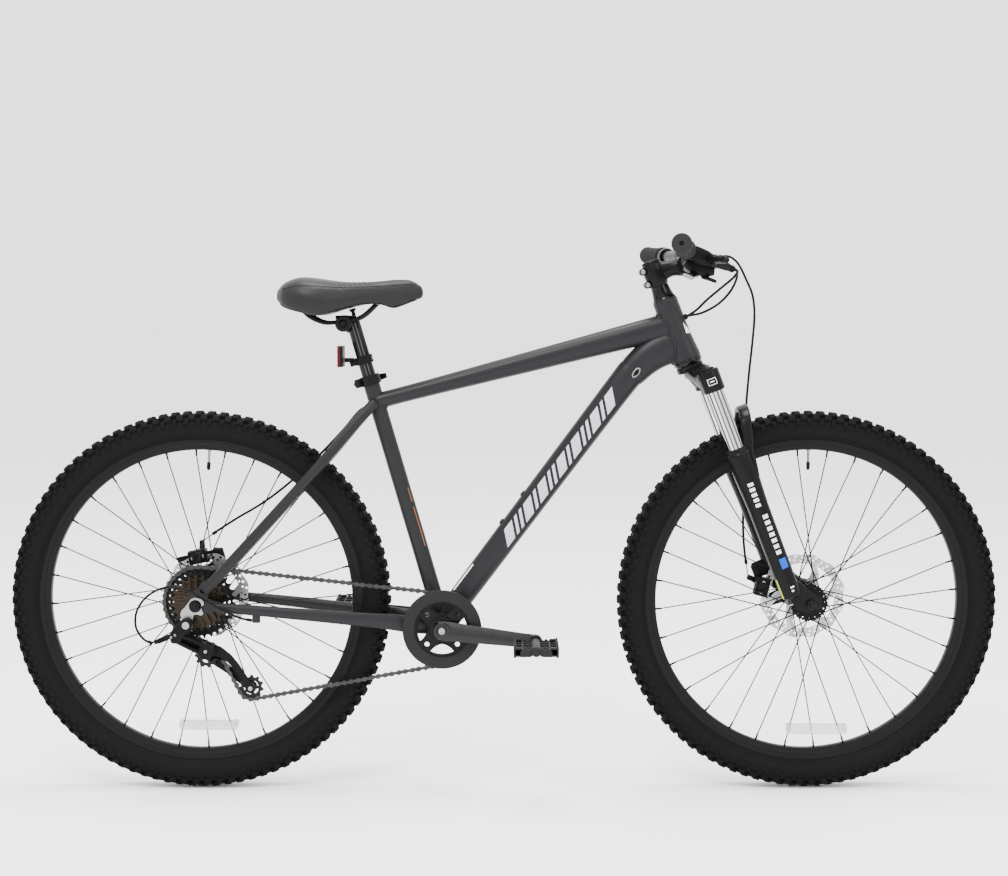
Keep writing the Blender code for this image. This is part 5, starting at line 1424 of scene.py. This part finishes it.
def chain_pins():
    """Where the chain's pins lie, one pitch apart round its whole loop."""
    ring = Vector((BB.x, RING_Y, BB.z))
    cog = Vector((REAR.x, COG_Y, REAR.z))
    route = belt([(ring, pitch_radius(RING_TEETH), -1), (TENSION, pitch_radius(PULLEY_TEETH), -1),
                  (GUIDE, pitch_radius(PULLEY_TEETH), 1), (cog, pitch_radius(COGS[0]), -1)])
    length = sum((two - one).length for one, two in zip(route, route[1:] + route[:1]))
    return even(route, length / (2 * round(length / PITCH / 2)), closed=True)


def tooth_phase(centre, teeth, around):
    """The angle of one roller of the chain where it wraps a sprocket, near a given angle."""
    target = polar(centre, pitch_radius(teeth), around)
    pin = min(PINS, key=lambda p: math.hypot(p.x - target.x, p.z - target.z))
    return math.atan2(pin.z - centre.z, pin.x - centre.x)


def sprocket(centre, teeth, phase, tip=3.0):
    """A toothed outline whose valleys lie on the rollers."""
    middle = pitch_radius(teeth)
    root, step = middle - ROLLER_R, math.tau / teeth
    rise = ((0, root), (0.17, root + 0.7), (0.3, middle - 0.8), (0.38, middle + tip * 0.55),
            (0.46, middle + tip), (0.54, middle + tip), (0.62, middle + tip * 0.55), (0.7, middle - 0.8),
            (0.83, root + 0.7))
    spots = [polar(centre, radius, phase + (k + share) * step)
             for k in range(teeth) for share, radius in rise]
    return [(spot.x, spot.z) for spot in spots]


def link_plate(one, two, y, thick, end_r, waist):
    """A chain side plate with two round ends and a narrow waist, offset sideways from two pins."""
    along = (two - one).normalized()
    up = Y.cross(along).normalized()
    middle = (one + two) / 2 + Y * y
    half = (two - one).length / 2
    arc = [math.radians(a) for a in (-115, -80, -40, 0, 40, 80, 115)]
    outline = [(half + end_r * math.cos(a), end_r * math.sin(a)) for a in arc]
    outline += [(0, waist)]
    outline += [(-half - end_r * math.cos(a), end_r * math.sin(a)) for a in arc[::-1]]
    outline += [(0, -waist)]
    rings = [[middle + along * u + up * v + Y * shift for u, v in outline]
             for shift in (-thick / 2, thick / 2)]
    return skin(rings)


def make_chain():
    """Every link of the chain. The run between the pulleys moves with the derailleur's cage."""
    count = len(PINS)
    groups = {"run": ([], []), "cage": ([], [])}
    for number, pin in enumerate(PINS):
        after = PINS[(number + 1) % count]
        middle = (pin + after) / 2
        held = middle.z < 276 and middle.x < -448 and middle.z < 262 + (middle.x + 544) * 0.1
        plates, pins = groups["cage" if held else "run"]
        outer = number % 2
        offset, end_r = (3.55, 4.3) if outer else (2.45, 3.7)
        for side in (-1, 1):
            plates.append(link_plate(pin, after, side * offset, 0.95, end_r, 2.1))
        pins.append(rod(ROLLER_R, pin - Y * 1.9, pin + Y * 1.9, 14, 0.2))
        pins.append(rod(1.75, pin - Y * 4.5, pin + Y * 4.5, 10, 0.2))
    for word, body in (("run", "frame"), ("cage", "derailleur_cage")):
        plates, pins = groups[word]
        piece("chain_plates_" + word, body, CHAIN, plates, ["chain"] if word == "run" else [])
        piece("chain_rollers_" + word, body, CHAIN, pins)


def sprocket_holes(radius):
    """The bore of a sprocket and the rings of lightening holes that its size has room for."""
    holes = [circle(REAR, 13, 32)]
    hole_ring = radius - 11
    if hole_ring > 30:
        holes += ring_of_holes(hole_ring, 11, 2.9, 12)
        if hole_ring - 9 > 28:
            holes += ring_of_holes(hole_ring - 9, 17, 4.6, 14)
    elif hole_ring > 21:
        holes += ring_of_holes(hole_ring, 9.5, 2.3, 12)
    return holes


def ring_of_holes(radius, pitch, size, sides):
    """As many holes round the rear axle as fit at a pitch."""
    count = int(radius * math.tau / pitch)
    return [circle(polar(REAR, radius, k * math.tau / count), size, sides) for k in range(count)]


def make_freewheel():
    """Eight drilled sprockets on their carrier, the two largest black."""
    phase = tooth_phase(REAR, COGS[0], math.radians(100))
    cogs = []
    for number, teeth in enumerate(COGS):
        y = COG_Y + number * COG_STEP
        holes = sprocket_holes(pitch_radius(teeth))
        cogs.append(plate(sprocket(REAR, teeth, phase), holes, y - 0.95, y + 0.95))
    piece("sprockets_largest", "freewheel", BLACK_COG, cogs[:2], ["freewheel"], bevel=0.25)
    piece("sprockets", "freewheel", BRONZE, cogs[2:], bevel=0.25)
    last = COG_Y + (len(COGS) - 1) * COG_STEP
    carrier = lathe([(12.4, COG_Y + 1.2), (26, COG_Y + 1.2), (26, COG_Y - 8), (19, COG_Y - 14),
                     (19, last + 2), (17.5, last - 1.2), (12.4, last - 1.6)], REAR, Y, 48)
    ring = lathe([(10, last - 1), (17, last - 1), (17, last - 3.4), (16, last - 4.2), (12.6, last - 4.2),
                  (12, last - 2.6), (10, last - 2.6)], REAR, Y, 40)
    piece("freewheel_carrier", "freewheel", DARK_STEEL, [carrier, ring], bevel=0.3)


def guard_window(turn):
    """A window with an outer edge round the guard and an inner edge bulging towards the axle."""
    half = math.radians(29)
    outer = [polar(BB, 46, turn + half * (k / 8 - 1)) for k in range(17)]
    inner = [polar(BB, 46 - 20 * math.sin(k * math.pi / 16), turn + half * math.cos(k * math.pi / 16))
             for k in range(1, 16)]
    return [(spot.x, spot.z) for spot in outer + inner]


def make_chainring():
    """The toothed ring, its plastic guard and the dish between them, with four shared windows."""
    phase = tooth_phase(BB, RING_TEETH, math.radians(10))
    quarters = [k * math.tau / 4 for k in range(4)]
    windows = [guard_window(turn) for turn in quarters]
    eyes = [circle(polar(BB, 39, turn + math.pi / 4), 4.6, 16) for turn in quarters]
    ring = plate(sprocket(BB, RING_TEETH, phase, 2.6), [circle(BB, 17, 40), *windows, *eyes],
                 RING_Y - 1, RING_Y + 1)
    piece("chainring_teeth", "crankset", DARK_STEEL, [ring], ["chainring"], bevel=0.25)
    rim = lathe([(50, RING_Y - 3.2), (72, RING_Y - 4.4), (72, RING_Y - 8.0), (71, RING_Y - 8.8),
                 (53, RING_Y - 8.2), (51, RING_Y - 7.4)], BB, Y, 120)
    piece("chainring_guard", "crankset", NYLON, [rim])
    dish = plate(circle(BB, 51.4, 96), [circle(BB, 16, 40), *windows, *eyes], RING_Y - 4.6, RING_Y - 2)
    ribs = []
    for window in windows:
        edge = [Vector((x, RING_Y - 4.8, z)) for x, z in window]
        ribs.append(sweep(edge, (1.2, 1.2), ellipse(8), side=Y, closed=True))
    collar = lathe([(16, RING_Y - 4), (24, RING_Y - 4), (23, RING_Y - 7.4), (16, RING_Y - 7.8)], BB, Y, 48)
    piece("chainring_dish", "crankset", SATIN, [dish, collar, *ribs], bevel=0.4)
    rivets = [bolt(polar(BB, 47, turn + math.pi / 4, RING_Y - 4.6), -Y, 2.8, 1.0, 20) for turn in quarters]
    piece("guard_rivets", "crankset", DARK_STEEL, rivets)


def make_crank_arm(word, side):
    """One crank arm from the bottom bracket to the pedal's eye. The left one carries the spindle."""
    out = CRANK_DIR * -side
    eye = BB + out * CRANK
    arm = swell([BB + Y * side * 66 - out * 8, BB + Y * side * 66.5 + out * 10,
                 BB + out * 34 + Y * side * 68.4, BB + out * 90 + Y * side * 72.4,
                 BB + out * 140 + Y * side * 76, eye + Y * side * 77],
                [(6.5, 16), (7.4, 17), (7.4, 16), (6.8, 14.2), (6.2, 12.6), (6, 12.4)],
                [(u * -side, v * -side) for u, v in ARM], Y)
    boss = lathe([(0, 40), (14.4, 40), (15.4, 41), (15.4, 71), (14.6, 73.4), (9.4, 73.8), (9.2, 71.6),
                  (0, 71.6)],
                 BB, Y * side, 48)
    end = pipe(13, 6.6, eye + Y * side * 70, eye + Y * side * 83, 40, 1.2)
    shapes = [arm, boss, end]
    if side > 0:
        shapes.append(rod(8.6, BB - Y * 60, BB + Y * 58, 32))
    piece("crank_arm_" + word, "crankset", ARM_BLACK, shapes, ["crank_" + word], bevel=0.6)
    head = lathe([(0, 71.4), (6, 71.4), (6.4, 72), (6.4, 73.6), (5.6, 74.6), (3, 74.6), (2.7, 73), (0, 73)],
                 BB, Y * side, 32)
    piece("crank_bolt_" + word, "crankset", STEEL, [head])


def make_pedal(word, side):
    """A platform pedal with toothed edges and a clear reflector at each end."""
    eye = BB + CRANK_DIR * -side * CRANK
    middle = eye + Y * side * PEDAL_OUT
    body = "pedal_" + word
    shaft = [rod(6.2, eye + Y * side * 72, eye + Y * side * 96, 28),
             lathe([(0, 84.4), (8.6, 84.4), (9.2, 85), (9.2, 89), (7, 91), (7, 95), (0, 95)],
                   eye, Y * side, 6)]
    piece("pedal_axle_" + word, body, DARK_STEEL, shaft, bevel=0.3)
    hub = rod(9, middle - Y * 42, middle + Y * 42, 40, 1.0)
    dust = lathe([(0, 42), (7, 42), (7.6, 43), (7, 45.6), (0, 46)], middle, Y * side, 28)
    bars = [box(middle + X * way * 37.4, (2.4, 43.6, 8.4)) for way in (-1, 1)]
    ends = [box(middle + Y * way * 41, (37.5, 2.8, 5.4)) for way in (-1, 1)]
    ends += [box(middle + Y * way * 41 + X * at, (6, 2.8, 8)) for way in (-1, 1) for at in (-31, 31)]
    ribs = [box(middle + X * way * 22 + Y * at, (15, 1.6, 5.4)) for way in (-1, 1) for at in (-22, 0, 22)]
    webs = [box(middle + X * way * 24, (1.5, 41, 4.6)) for way in (-1, 1)]
    webs += [box(middle + X * way * 19 + Y * at - Z * 3, (9, 2.2, 5.4))
             for way in (-1, 1) for at in (-42, 42)]
    piece("pedal_body_" + word, body, NYLON, [hub, dust, *bars, *ends, *ribs, *webs], [body], bevel=1.0)
    teeth = []
    for way in (-1, 1):
        for lift in (-1, 1):
            teeth += [box(middle + X * way * 37.4 + Y * (-38 + k * 9.5) + Z * lift * 9.2, (1.8, 2.2, 1.5))
                      for k in range(9)]
            teeth += [box(middle + Y * at + X * (-19 + k * 9.5) + Z * lift * 6.1, (2.4, 1.8, 1.5))
                      for at in (-41, 41) for k in range(5)]
    piece("pedal_teeth_" + word, body, NYLON, teeth, bevel=0.5)
    lenses = [box(middle + X * way * 39.1, (0.8, 22, 5.6)) for way in (-1, 1)]
    piece("pedal_reflector_" + word, body, CLEAR, lenses, bevel=0.4)


def make_hanger():
    """The derailleur's hanger claw, its fixed body and its cable adjuster."""
    hanger = [(10, 13), (15, 9), (16, 3), (11, -1), (12, -7), (15, -13), (11, -17), (3, -15), (-3, -16),
              (-5, -23), (-6, -34), (-8, -41), (-14, -44), (-21, -42), (-24.5, -36), (-25, -26), (-27, -14),
              (-25, -8), (-19, -2), (-13, 6), (-8, 13), (-1, 15)]
    outline = [(REAR.x + x, REAR.z + z) for x, z in hanger]
    claw = plate(outline, [circle(REAR, 5.6, 24)], -77.2, -74)
    piece("hanger_claw", "frame", STEEL, [claw], ["derailleur_hanger"], bevel=0.7)
    piece("hanger_bolt", "frame", STEEL, [bolt(HANGER_BOLT - Y * 94, -Y, 6.6, 2.6, 32)])
    joint = lathe([(0, 77.6), (11.2, 77.6), (12, 78.6), (12, 90), (10.8, 92.6), (8, 94), (0, 94)],
                  HANGER_BOLT, -Y, 48)
    arm = swell([HANGER_BOLT - Y * 88, (-583, -90, 306), (-590, -90, 295), (-599, -90, 293)],
                [(6, 11.4), (7, 12.2), (7.2, 11.4), (6.2, 8)], soft_box(0.7), Y)
    piece("derailleur_mount", "frame", FORGED, [joint, arm], ["derailleur_body"], bevel=0.8)
    run = (Vector((-628, -95, 285.5)) - Vector((-594, -91, 299))).normalized()
    profile = [(0, 0), (4.2, 0), (4.2, 12)]
    for k in range(6):
        profile += [(5.0, 12.5 + k * 2.4), (5.0, 13.9 + k * 2.4), (4.3, 14.4 + k * 2.4)]
    barrel = lathe(profile + [(4.2, 27.4), (3.2, 34), (0, 34)], Vector((-596, -91.2, 298.2)), run, 28)
    piece("derailleur_adjuster", "frame", PLASTIC, [barrel])
    screws = [bolt(Vector((-590 - 7 * k, -96.6, 300 - 4 * k)), -Y, 2.2, 1.4, 14) for k in range(2)]
    piece("derailleur_screws", "frame", STEEL, screws)


def make_derailleur_link():
    """The two link plates with the web, spring and pins between them."""
    side = (KNUCKLE_PIVOT - LINK_PIVOT).normalized()
    across = side.cross(LINK_AXIS).normalized()
    half_way = LINK_PIVOT.lerp(KNUCKLE_PIVOT, 0.5)
    arms = []
    for lift in (-1, 1):
        shift = LINK_AXIS * 6.8 * lift
        arms.append(swell([LINK_PIVOT + shift, half_way + shift * 1.15, KNUCKLE_PIVOT + shift],
                          [(4.4, 9.5), (4.0, 8.5), (4.6, 9)], soft_box(0.7), LINK_AXIS))
    web = box(half_way - across * 5.5, (22, 6.5, 1.4), side, across)
    piece("derailleur_link_arms", "derailleur_link", FORGED, [*arms, web], ["derailleur_link"], bevel=0.3)
    coil = []
    for k in range(121):
        turn = k * math.tau * 7 / 120
        round_coil = LINK_AXIS * math.cos(turn) + across * math.sin(turn)
        coil.append(LINK_PIVOT + side * (10 + k * 36 / 120) + round_coil * 3.0)
    pins = [rod(2.8, at - LINK_AXIS * 11, at + LINK_AXIS * 11, 16) for at in (LINK_PIVOT, KNUCKLE_PIVOT)]
    piece("derailleur_link_spring", "derailleur_link", DARK_STEEL,
          [sweep(coil, (0.5, 0.5), ellipse(6)), *pins])


def make_derailleur_knuckle():
    """The round pivot housing that the cage swings on."""
    middle = Vector((KNUCKLE_PIVOT.x, 0, KNUCKLE_PIVOT.z))
    body = lathe([(0, 43.2), (14, 43.2), (15.4, 44.4), (15.4, 49.6), (12, 50.6), (0, 50.6)], middle, -Y, 48)
    cap = lathe([(0, 62.4), (13, 62.4), (14.6, 63.4), (14.6, 66), (12.6, 67.6), (5, 68), (4.4, 67), (0, 67)],
                middle, -Y, 48)
    core = rod(9.4, middle - Y * 47, middle - Y * 64.4, 32)
    piece("derailleur_pivot_body", "derailleur_knuckle", FORGED, [body, cap, core], ["derailleur_knuckle"],
          bevel=0.3)
    piece("derailleur_pivot_screw", "derailleur_knuckle", STEEL, [bolt(middle - Y * 67, -Y, 3.2, 1.0, 16)])


def half_round(centre, radius, direction):
    """Points of the half circle that faces a direction."""
    up = Vector((-direction.z, 0, direction.x))
    turns = [k * math.pi / 8 for k in range(1, 8)]
    return [centre + (up * math.cos(a) + direction * math.sin(a)) * radius for a in turns]


def cage_plate(low, high, spots):
    """A plate drawn round circles of (centre, radius) joined in line."""
    upper, lower = [], []
    for (one, r1), (two, r2) in zip(spots, spots[1:]):
        run = (two - one).normalized()
        up = Vector((-run.z, 0, run.x))
        upper += [one + up * r1, two + up * r2]
        lower += [one - up * r1, two - up * r2]
    onward = (spots[-1][0] - spots[-2][0]).normalized()
    back = (spots[0][0] - spots[1][0]).normalized()
    outline = upper + half_round(*spots[-1], onward) + lower[::-1] + half_round(*spots[0], back)
    return plate([(p.x, p.z) for p in outline], [], low, high)


def make_cage():
    """The derailleur's two cage plates, their bolts and the two toothed pulleys between them."""
    middle = Vector((KNUCKLE_PIVOT.x, 0, KNUCKLE_PIVOT.z))
    guide, tension = Vector((GUIDE.x, 0, GUIDE.z)), Vector((TENSION.x, 0, TENSION.z))
    bends = [(Vector((x, 0, z)), radius)
             for x, z, radius in ((-522, 260, 10), (-504, 249, 7.4), (-488, 231, 6.2), (-472, 206, 6))]
    outer = cage_plate(-42, -40.2, [(middle, 14), *bends, (tension, 9)])
    inner = cage_plate(-22.4, -20.8, [(guide, 10.4), (guide.lerp(tension, 0.5), 7.4), (tension, 10.4)])
    piece("cage_plates", "derailleur_cage", FORGED, [outer, inner], ["derailleur_cage"], bevel=0.4)
    pins = [rod(3, at - Y * 12.6, at + Y * 8, 20) for at in (GUIDE, TENSION)]
    heads = [bolt(at - Y * 13, -Y, 4.2, 1.2, 20) for at in (GUIDE, TENSION)]
    piece("cage_bolts", "derailleur_cage", STEEL, [*pins, *heads])
    for name, at, around in (("guide_pulley", GUIDE, 0.2), ("tension_pulley", TENSION, -2.2)):
        phase = tooth_phase(at, PULLEY_TEETH, around)
        holes = [arc_window(at, 8.5, 13.6, k * math.tau / 5 + 0.22, (k + 1) * math.tau / 5 - 0.22)
                 for k in range(5)]
        wheel = plate(sprocket(at, PULLEY_TEETH, phase, 0.7), [circle(at, 3.4, 20), *holes], at.y - 1.5,
                      at.y + 1.5)
        hub = pipe(6, 3.4, at - Y * 3, at + Y * 3, 28)
        piece(name + "_wheel", name, NYLON, [wheel, hub], [name], bevel=0.3)


# ---------------------------------------------------------------- brakes and cables


def make_caliper(name, centre, axle, rise, holder):
    """A mechanical disc caliper over a rotor, with its moving arm. rise runs along its mounting bolts."""
    out = Vector((centre.x - axle.x, 0, centre.z - axle.z)).normalized()
    along = Y.cross(out)
    halves = [box(centre + Y * side * 7.2, (12.6, 4.7, 17.4), out, along) for side in (-1, 1)]
    bridge = box(centre + out * 10.9, (2.8, 5, 16.6), out, along)
    back = lathe([(0, 10), (12.8, 10), (13, 12), (13, 17.6), (12, 19), (0, 19)], centre, Y, 48)
    mount = box(centre + Y * 9.5, (5.8, 3.4, 41.6), Y.cross(rise), rise)
    ribs = [box(centre + Y * 12.2 + along * 10 * lift, (9, 2.2, 1.4), out, along) for lift in (-1, 1)]
    piece(name + "_caliper_body", holder, FORGED, [*halves, bridge, back, mount, *ribs], [name + "_caliper"],
          bevel=1.4)
    screws = []
    for lift in (-1, 1):
        spot = centre + Y * 12.9 + rise * 34 * lift
        screws += [bolt(spot, Y, 4.6, 3.6, 24), pipe(5.4, 2.4, spot, spot + Y * 1.0, 24)]
    face = centre - Y * 11.9
    screws += [bolt(face + along * 9 * lift, -Y, 3.4, 1.6, 20) for lift in (-1, 1)]
    piece(name + "_caliper_bolts", holder, STEEL, screws)
    dial = lathe([(0, 0), (9.4, 0), (10, 0.8), (10, 2), (9, 3), (4, 3), (3.6, 1.8), (0, 1.8)], face, -Y, 40)
    piece(name + "_pad_dial", holder, DARK_STEEL, [dial], bevel=0.3)
    pads = [box(centre - out * 2 + Y * side * 1.9, (9, 0.7, 12), out, along) for side in (-1, 1)]
    piece(name + "_brake_pads", holder, BRONZE, pads, bevel=0.2)

    pivot = centre + Y * 22.5
    arm = swell([pivot, pivot + out * 12 + along * 6, pivot + out * 26 + along * 9],
                [(2.4, 7), (2.3, 5.5), (2.3, 5)], BOXY, Y)
    disc = lathe([(0, 19.6), (8.6, 19.6), (9, 20), (9, 24.2), (8, 25), (0, 25)], centre, Y, 40)
    body = name + "_brake_arm"
    piece(name + "_brake_lever_arm", body, FORGED, [arm, disc], [body], bevel=0.4)
    clamp = bolt(pivot + out * 24 + along * 8.6 + Y * 2.2, Y, 3.6, 2.4, 20)
    piece(body + "_bolts", body, STEEL, [clamp, bolt(centre + Y * 25, Y, 3.8, 1.8, 20)])


def ferrule(one, two, radius, length=9):
    """A plastic end cap on a housing."""
    run = (Vector(two) - Vector(one)).normalized()
    return lathe([(0, 0), (radius, 0), (radius + 0.7, 0.6), (radius + 0.7, length), (radius, length + 0.6),
                  (0, length + 0.6)], one, run, 24)


def make_bar_housings():
    """The housings that run from the bar: two into the head tube, and one down to the front caliper."""
    port_at = steer(73.6, 24)
    entry = port_at + STEER_FWD * 5
    port = lathe([(0, -2), (5.4, -2), (5.4, 2.4), (4.6, 4.4), (3, 4.8), (0, 4.8)], port_at, STEER_FWD, 32)
    piece("cable_port_plug", "frame", PLASTIC, [port])
    for name, route, stands_for in (("bar_housing_brake", REAR_BRAKE_ROUTE, ["bar_cables"]),
                                    ("bar_housing_shift", SHIFT_ROUTE, [])):
        housing = piece(name, None, CABLE, [wire([*route, entry], HOUSING_R)], stands_for)
        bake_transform(housing)
    route = FRONT_BRAKE_ROUTE
    housing = piece("front_brake_housing", None, CABLE, [wire(route, HOUSING_R)], ["front_brake_cable"])
    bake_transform(housing)


def make_rear_housings():
    """The housings fixed to the frame, with the caps on the housings' ends."""
    shift, brake = REAR_SHIFT_ROUTE, REAR_BRAKE_STAY
    piece("rear_shift_housing", "frame", CABLE, [wire(shift, 2.2)], ["rear_shift_cable"])
    piece("rear_brake_housing", "frame", CABLE, [wire(brake, HOUSING_R)], ["rear_brake_cable"])
    tips = [ferrule(shift[0], shift[1], 2.3), ferrule(shift[-1], shift[-2], 2.3),
            ferrule(brake[0], brake[1], 2.5), ferrule(brake[-1], brake[-2], 2.5, 12)]
    piece("rear_ferrules", "frame", PLASTIC, tips)
    piece("front_ferrule", "lowers", PLASTIC, [ferrule(FRONT_BRAKE_ROUTE[-1], FRONT_BRAKE_ROUTE[-2], 2.5)])


def make_brake_wires():
    """The bare wire from each brake housing's end to the clamp on the caliper's moving arm."""
    for name, stop, clamp, holder in (("front", FRONT_BRAKE_ROUTE[-1], (459.6, 68.0, 380.6), "lowers"),
                                      ("rear", REAR_BRAKE_STAY[0], (-568.6, 80.5, 446.3), "frame")):
        line = [Vector(stop).lerp(Vector(clamp), k / 6) for k in range(7)]
        bare = piece(name + "_brake_wire", None, SPOKE, [wire(line, 1.1, 3.0)])
        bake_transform(bare)


def make_ties():
    """Two ties round the rear brake housing."""
    ties = []
    for k in (3, 5):
        spot, after = Vector(REAR_BRAKE_STAY[k]), Vector(REAR_BRAKE_STAY[k + 1])
        run = (after - spot).normalized()
        ties.append(lathe([(2.4, -1.6), (3.4, -1.6), (3.4, 1.6), (2.4, 1.6)], spot, run, 20))
    piece("housing_ties", "frame", PLASTIC, ties)


# ---------------------------------------------------------------- frame graphics


def patch(corners, surface, side, steps=(24, 8)):
    """A thin layer on a surface between four (x, z) corners, seen from one side of the bike."""
    a, b, c, d = [Vector((x, 0, z)) for x, z in corners]
    rings = []
    for i in range(steps[0] + 1):
        low, high = a.lerp(b, i / steps[0]), d.lerp(c, i / steps[0])
        top, under = [], []
        for j in range(steps[1] + 1):
            spot = low.lerp(high, j / steps[1])
            hit, normal = surface.ray_cast(spot + Y * side * 90, -Y * side)[:2]
            if hit is None:
                return None
            out = normal if normal.y * side > 0 else -normal
            top.append(hit + out * 0.18)
            under.append(hit - out * 0.3)
        rings.append(top + under[::-1])
    return skin(rings)


def along_down_tube(share, lift):
    """An (x, z) spot at a share along the down tube's straight part, lifted across it."""
    spot = Vector(DOWN_LOW).lerp(Vector(DOWN_HIGH), share) + down_tube_axes()[1] * lift
    return spot.x, spot.z


def make_graphics(word, side):
    """Slanted bars along the down tube, a badge, a sticker and two fine lines, none of them lettering."""
    wide, thin, gap, lean, half = 0.05, 0.016, 0.015, 0.05, 12.5
    bars = []
    at = 0.27
    for width in (wide, thin, thin, wide, thin, wide, thin, thin, wide, thin, wide, thin, thin, wide, thin,
                  wide):
        corners = [along_down_tube(at, -half), along_down_tube(at + width, -half),
                   along_down_tube(at + width + lean, half), along_down_tube(at + lean, half)]
        bars.append(patch(corners, SKINS["down"], side))
        at += width + gap
    piece("down_tube_bars_" + word, "frame", SILVER_INK, [bar for bar in bars if bar])
    sticker = patch([along_down_tube(0.0, 18.2), along_down_tube(0.13, 18.2), along_down_tube(0.13, 20.4),
                     along_down_tube(0.0, 20.4)], SKINS["down"], side)
    badge = [steer(66, 15.5), steer(46, 14), steer(44, 21.4), steer(50, 21.4)]
    badge = patch([(spot.x, spot.z) for spot in badge], SKINS["head"], side, (8, 10))
    piece("small_marks_" + word, "frame", WHITE_INK, [mark for mark in (sticker, badge) if mark])
    lines = []
    for low, high in ((150, 226), (236, 262)):
        corners = [seat(low, 10), seat(high, 10), seat(high, 10.9), seat(low, 10.9)]
        lines.append(patch([(p.x, p.z) for p in corners], SKINS["seat"], side, (10, 2)))
    piece("seat_tube_lines_" + word, "frame", ORANGE_INK, [line for line in lines if line])


# ---------------------------------------------------------------- studio


def make_studio():
    """A pale floor, three soft lamps and an even surround."""
    mesh = bpy.data.meshes.new("floor")
    half = FLOOR_HALF
    mesh.from_pydata([(-half, -half, 0), (half, -half, 0), (half, half, 0), (-half, half, 0)], [],
                     [(0, 1, 2, 3)])
    floor = bpy.data.objects.new("floor", mesh)
    bpy.context.scene.collection.objects.link(floor)
    floor.location.z = -FLOOR_GAP
    mesh.materials.append(material("studio_floor", (0.955, 0.955, 0.955), 0.7, spread=0.01, cloud=2, grain=60,
                                   depth=0.02))
    for name, at, size, power in (("key", (-1.4, -2.6, 4.4), 1.6, 230), ("fill", (2.8, -2.8, 2.8), 2.0, 60),
                                  ("top", (0, 0.3, 4.6), 1.6, 260)):
        light = bpy.data.lights.new(name, "AREA")
        light.shape = "SQUARE"
        light.size = size
        light.energy = power
        lamp = bpy.data.objects.new(name, light)
        lamp.location = at
        lamp.rotation_euler = (Vector((0, 0, 0.5)) - Vector(at)).to_track_quat("-Z", "Y").to_euler()
        bpy.context.scene.collection.objects.link(lamp)
    world = bpy.data.worlds.new("studio")
    world.use_nodes = True
    world.node_tree.nodes["Background"].inputs["Color"].default_value = (1, 1, 1, 1)
    world.node_tree.nodes["Background"].inputs["Strength"].default_value = 2.5
    bpy.context.scene.world = world


def make_camera():
    """A camera square to the bicycle's right side, looking slightly down."""
    lens = bpy.data.cameras.new("camera")
    lens.sensor_width = 36
    lens.lens = LENS
    camera = bpy.data.objects.new("camera", lens)
    camera.location = CAMERA_AT
    camera.rotation_euler = (math.radians(90) - CAMERA_DIP, 0, 0)
    bpy.context.scene.collection.objects.link(camera)
    bpy.context.scene.camera = camera


# ---------------------------------------------------------------- build

SKINS = {
    "down": tree_of(swell(*DOWN_TUBE, ellipse(56), Y)),
    "head": tree_of(lathe([(0, 0), (27, 0.8), (27, 10), (26, 16), (23.8, 42), (23, 70), (23, HEAD_TUBE),
                           (0, HEAD_TUBE)], HEAD_LOW, STEER_UP, 64)),
    "seat": tree_of(rod(15, seat(-6), seat(SEAT_TUBE), 48)),
}
PINS = chain_pins()

for wheel, at in (("front", FRONT), ("rear", REAR)):
    make_tyre(wheel, at)
    make_rim(wheel, at)
make_front_hub()
make_rear_hub()
make_wheel_reflector("rear", -601, -492, 106, 122)
make_wheel_reflector("front", 523, 635, 98, 115)
make_frame_tubes()
make_frame_details()
for word, side in SIDES:
    make_graphics(word, side)
make_seat_clamp()
make_seatpost()
make_saddle_trim(make_saddle_cover())
make_saddle_rails()
make_headset()
make_crown()
make_lowers()
make_stem()
make_bar()
for word, side in SIDES:
    make_brake_perch(word, side)
    make_brake_lever(word, side)
make_shifter()
make_chain()
make_freewheel()
make_chainring()
for word, side in SIDES:
    make_crank_arm(word, side)
for word, side in SIDES:
    make_pedal(word, side)
make_hanger()
make_derailleur_link()
make_derailleur_knuckle()
make_cage()
make_caliper("rear", Vector((-572, 52, 421)), REAR, Vector((0.978, 0, 0.21)), "frame")
make_caliper("front", Vector((481, 39.5, 366.7)), FRONT, STEER_UP, "lowers")
make_bar_housings()
make_rear_housings()
make_brake_wires()
make_ties()
make_studio()
make_camera()
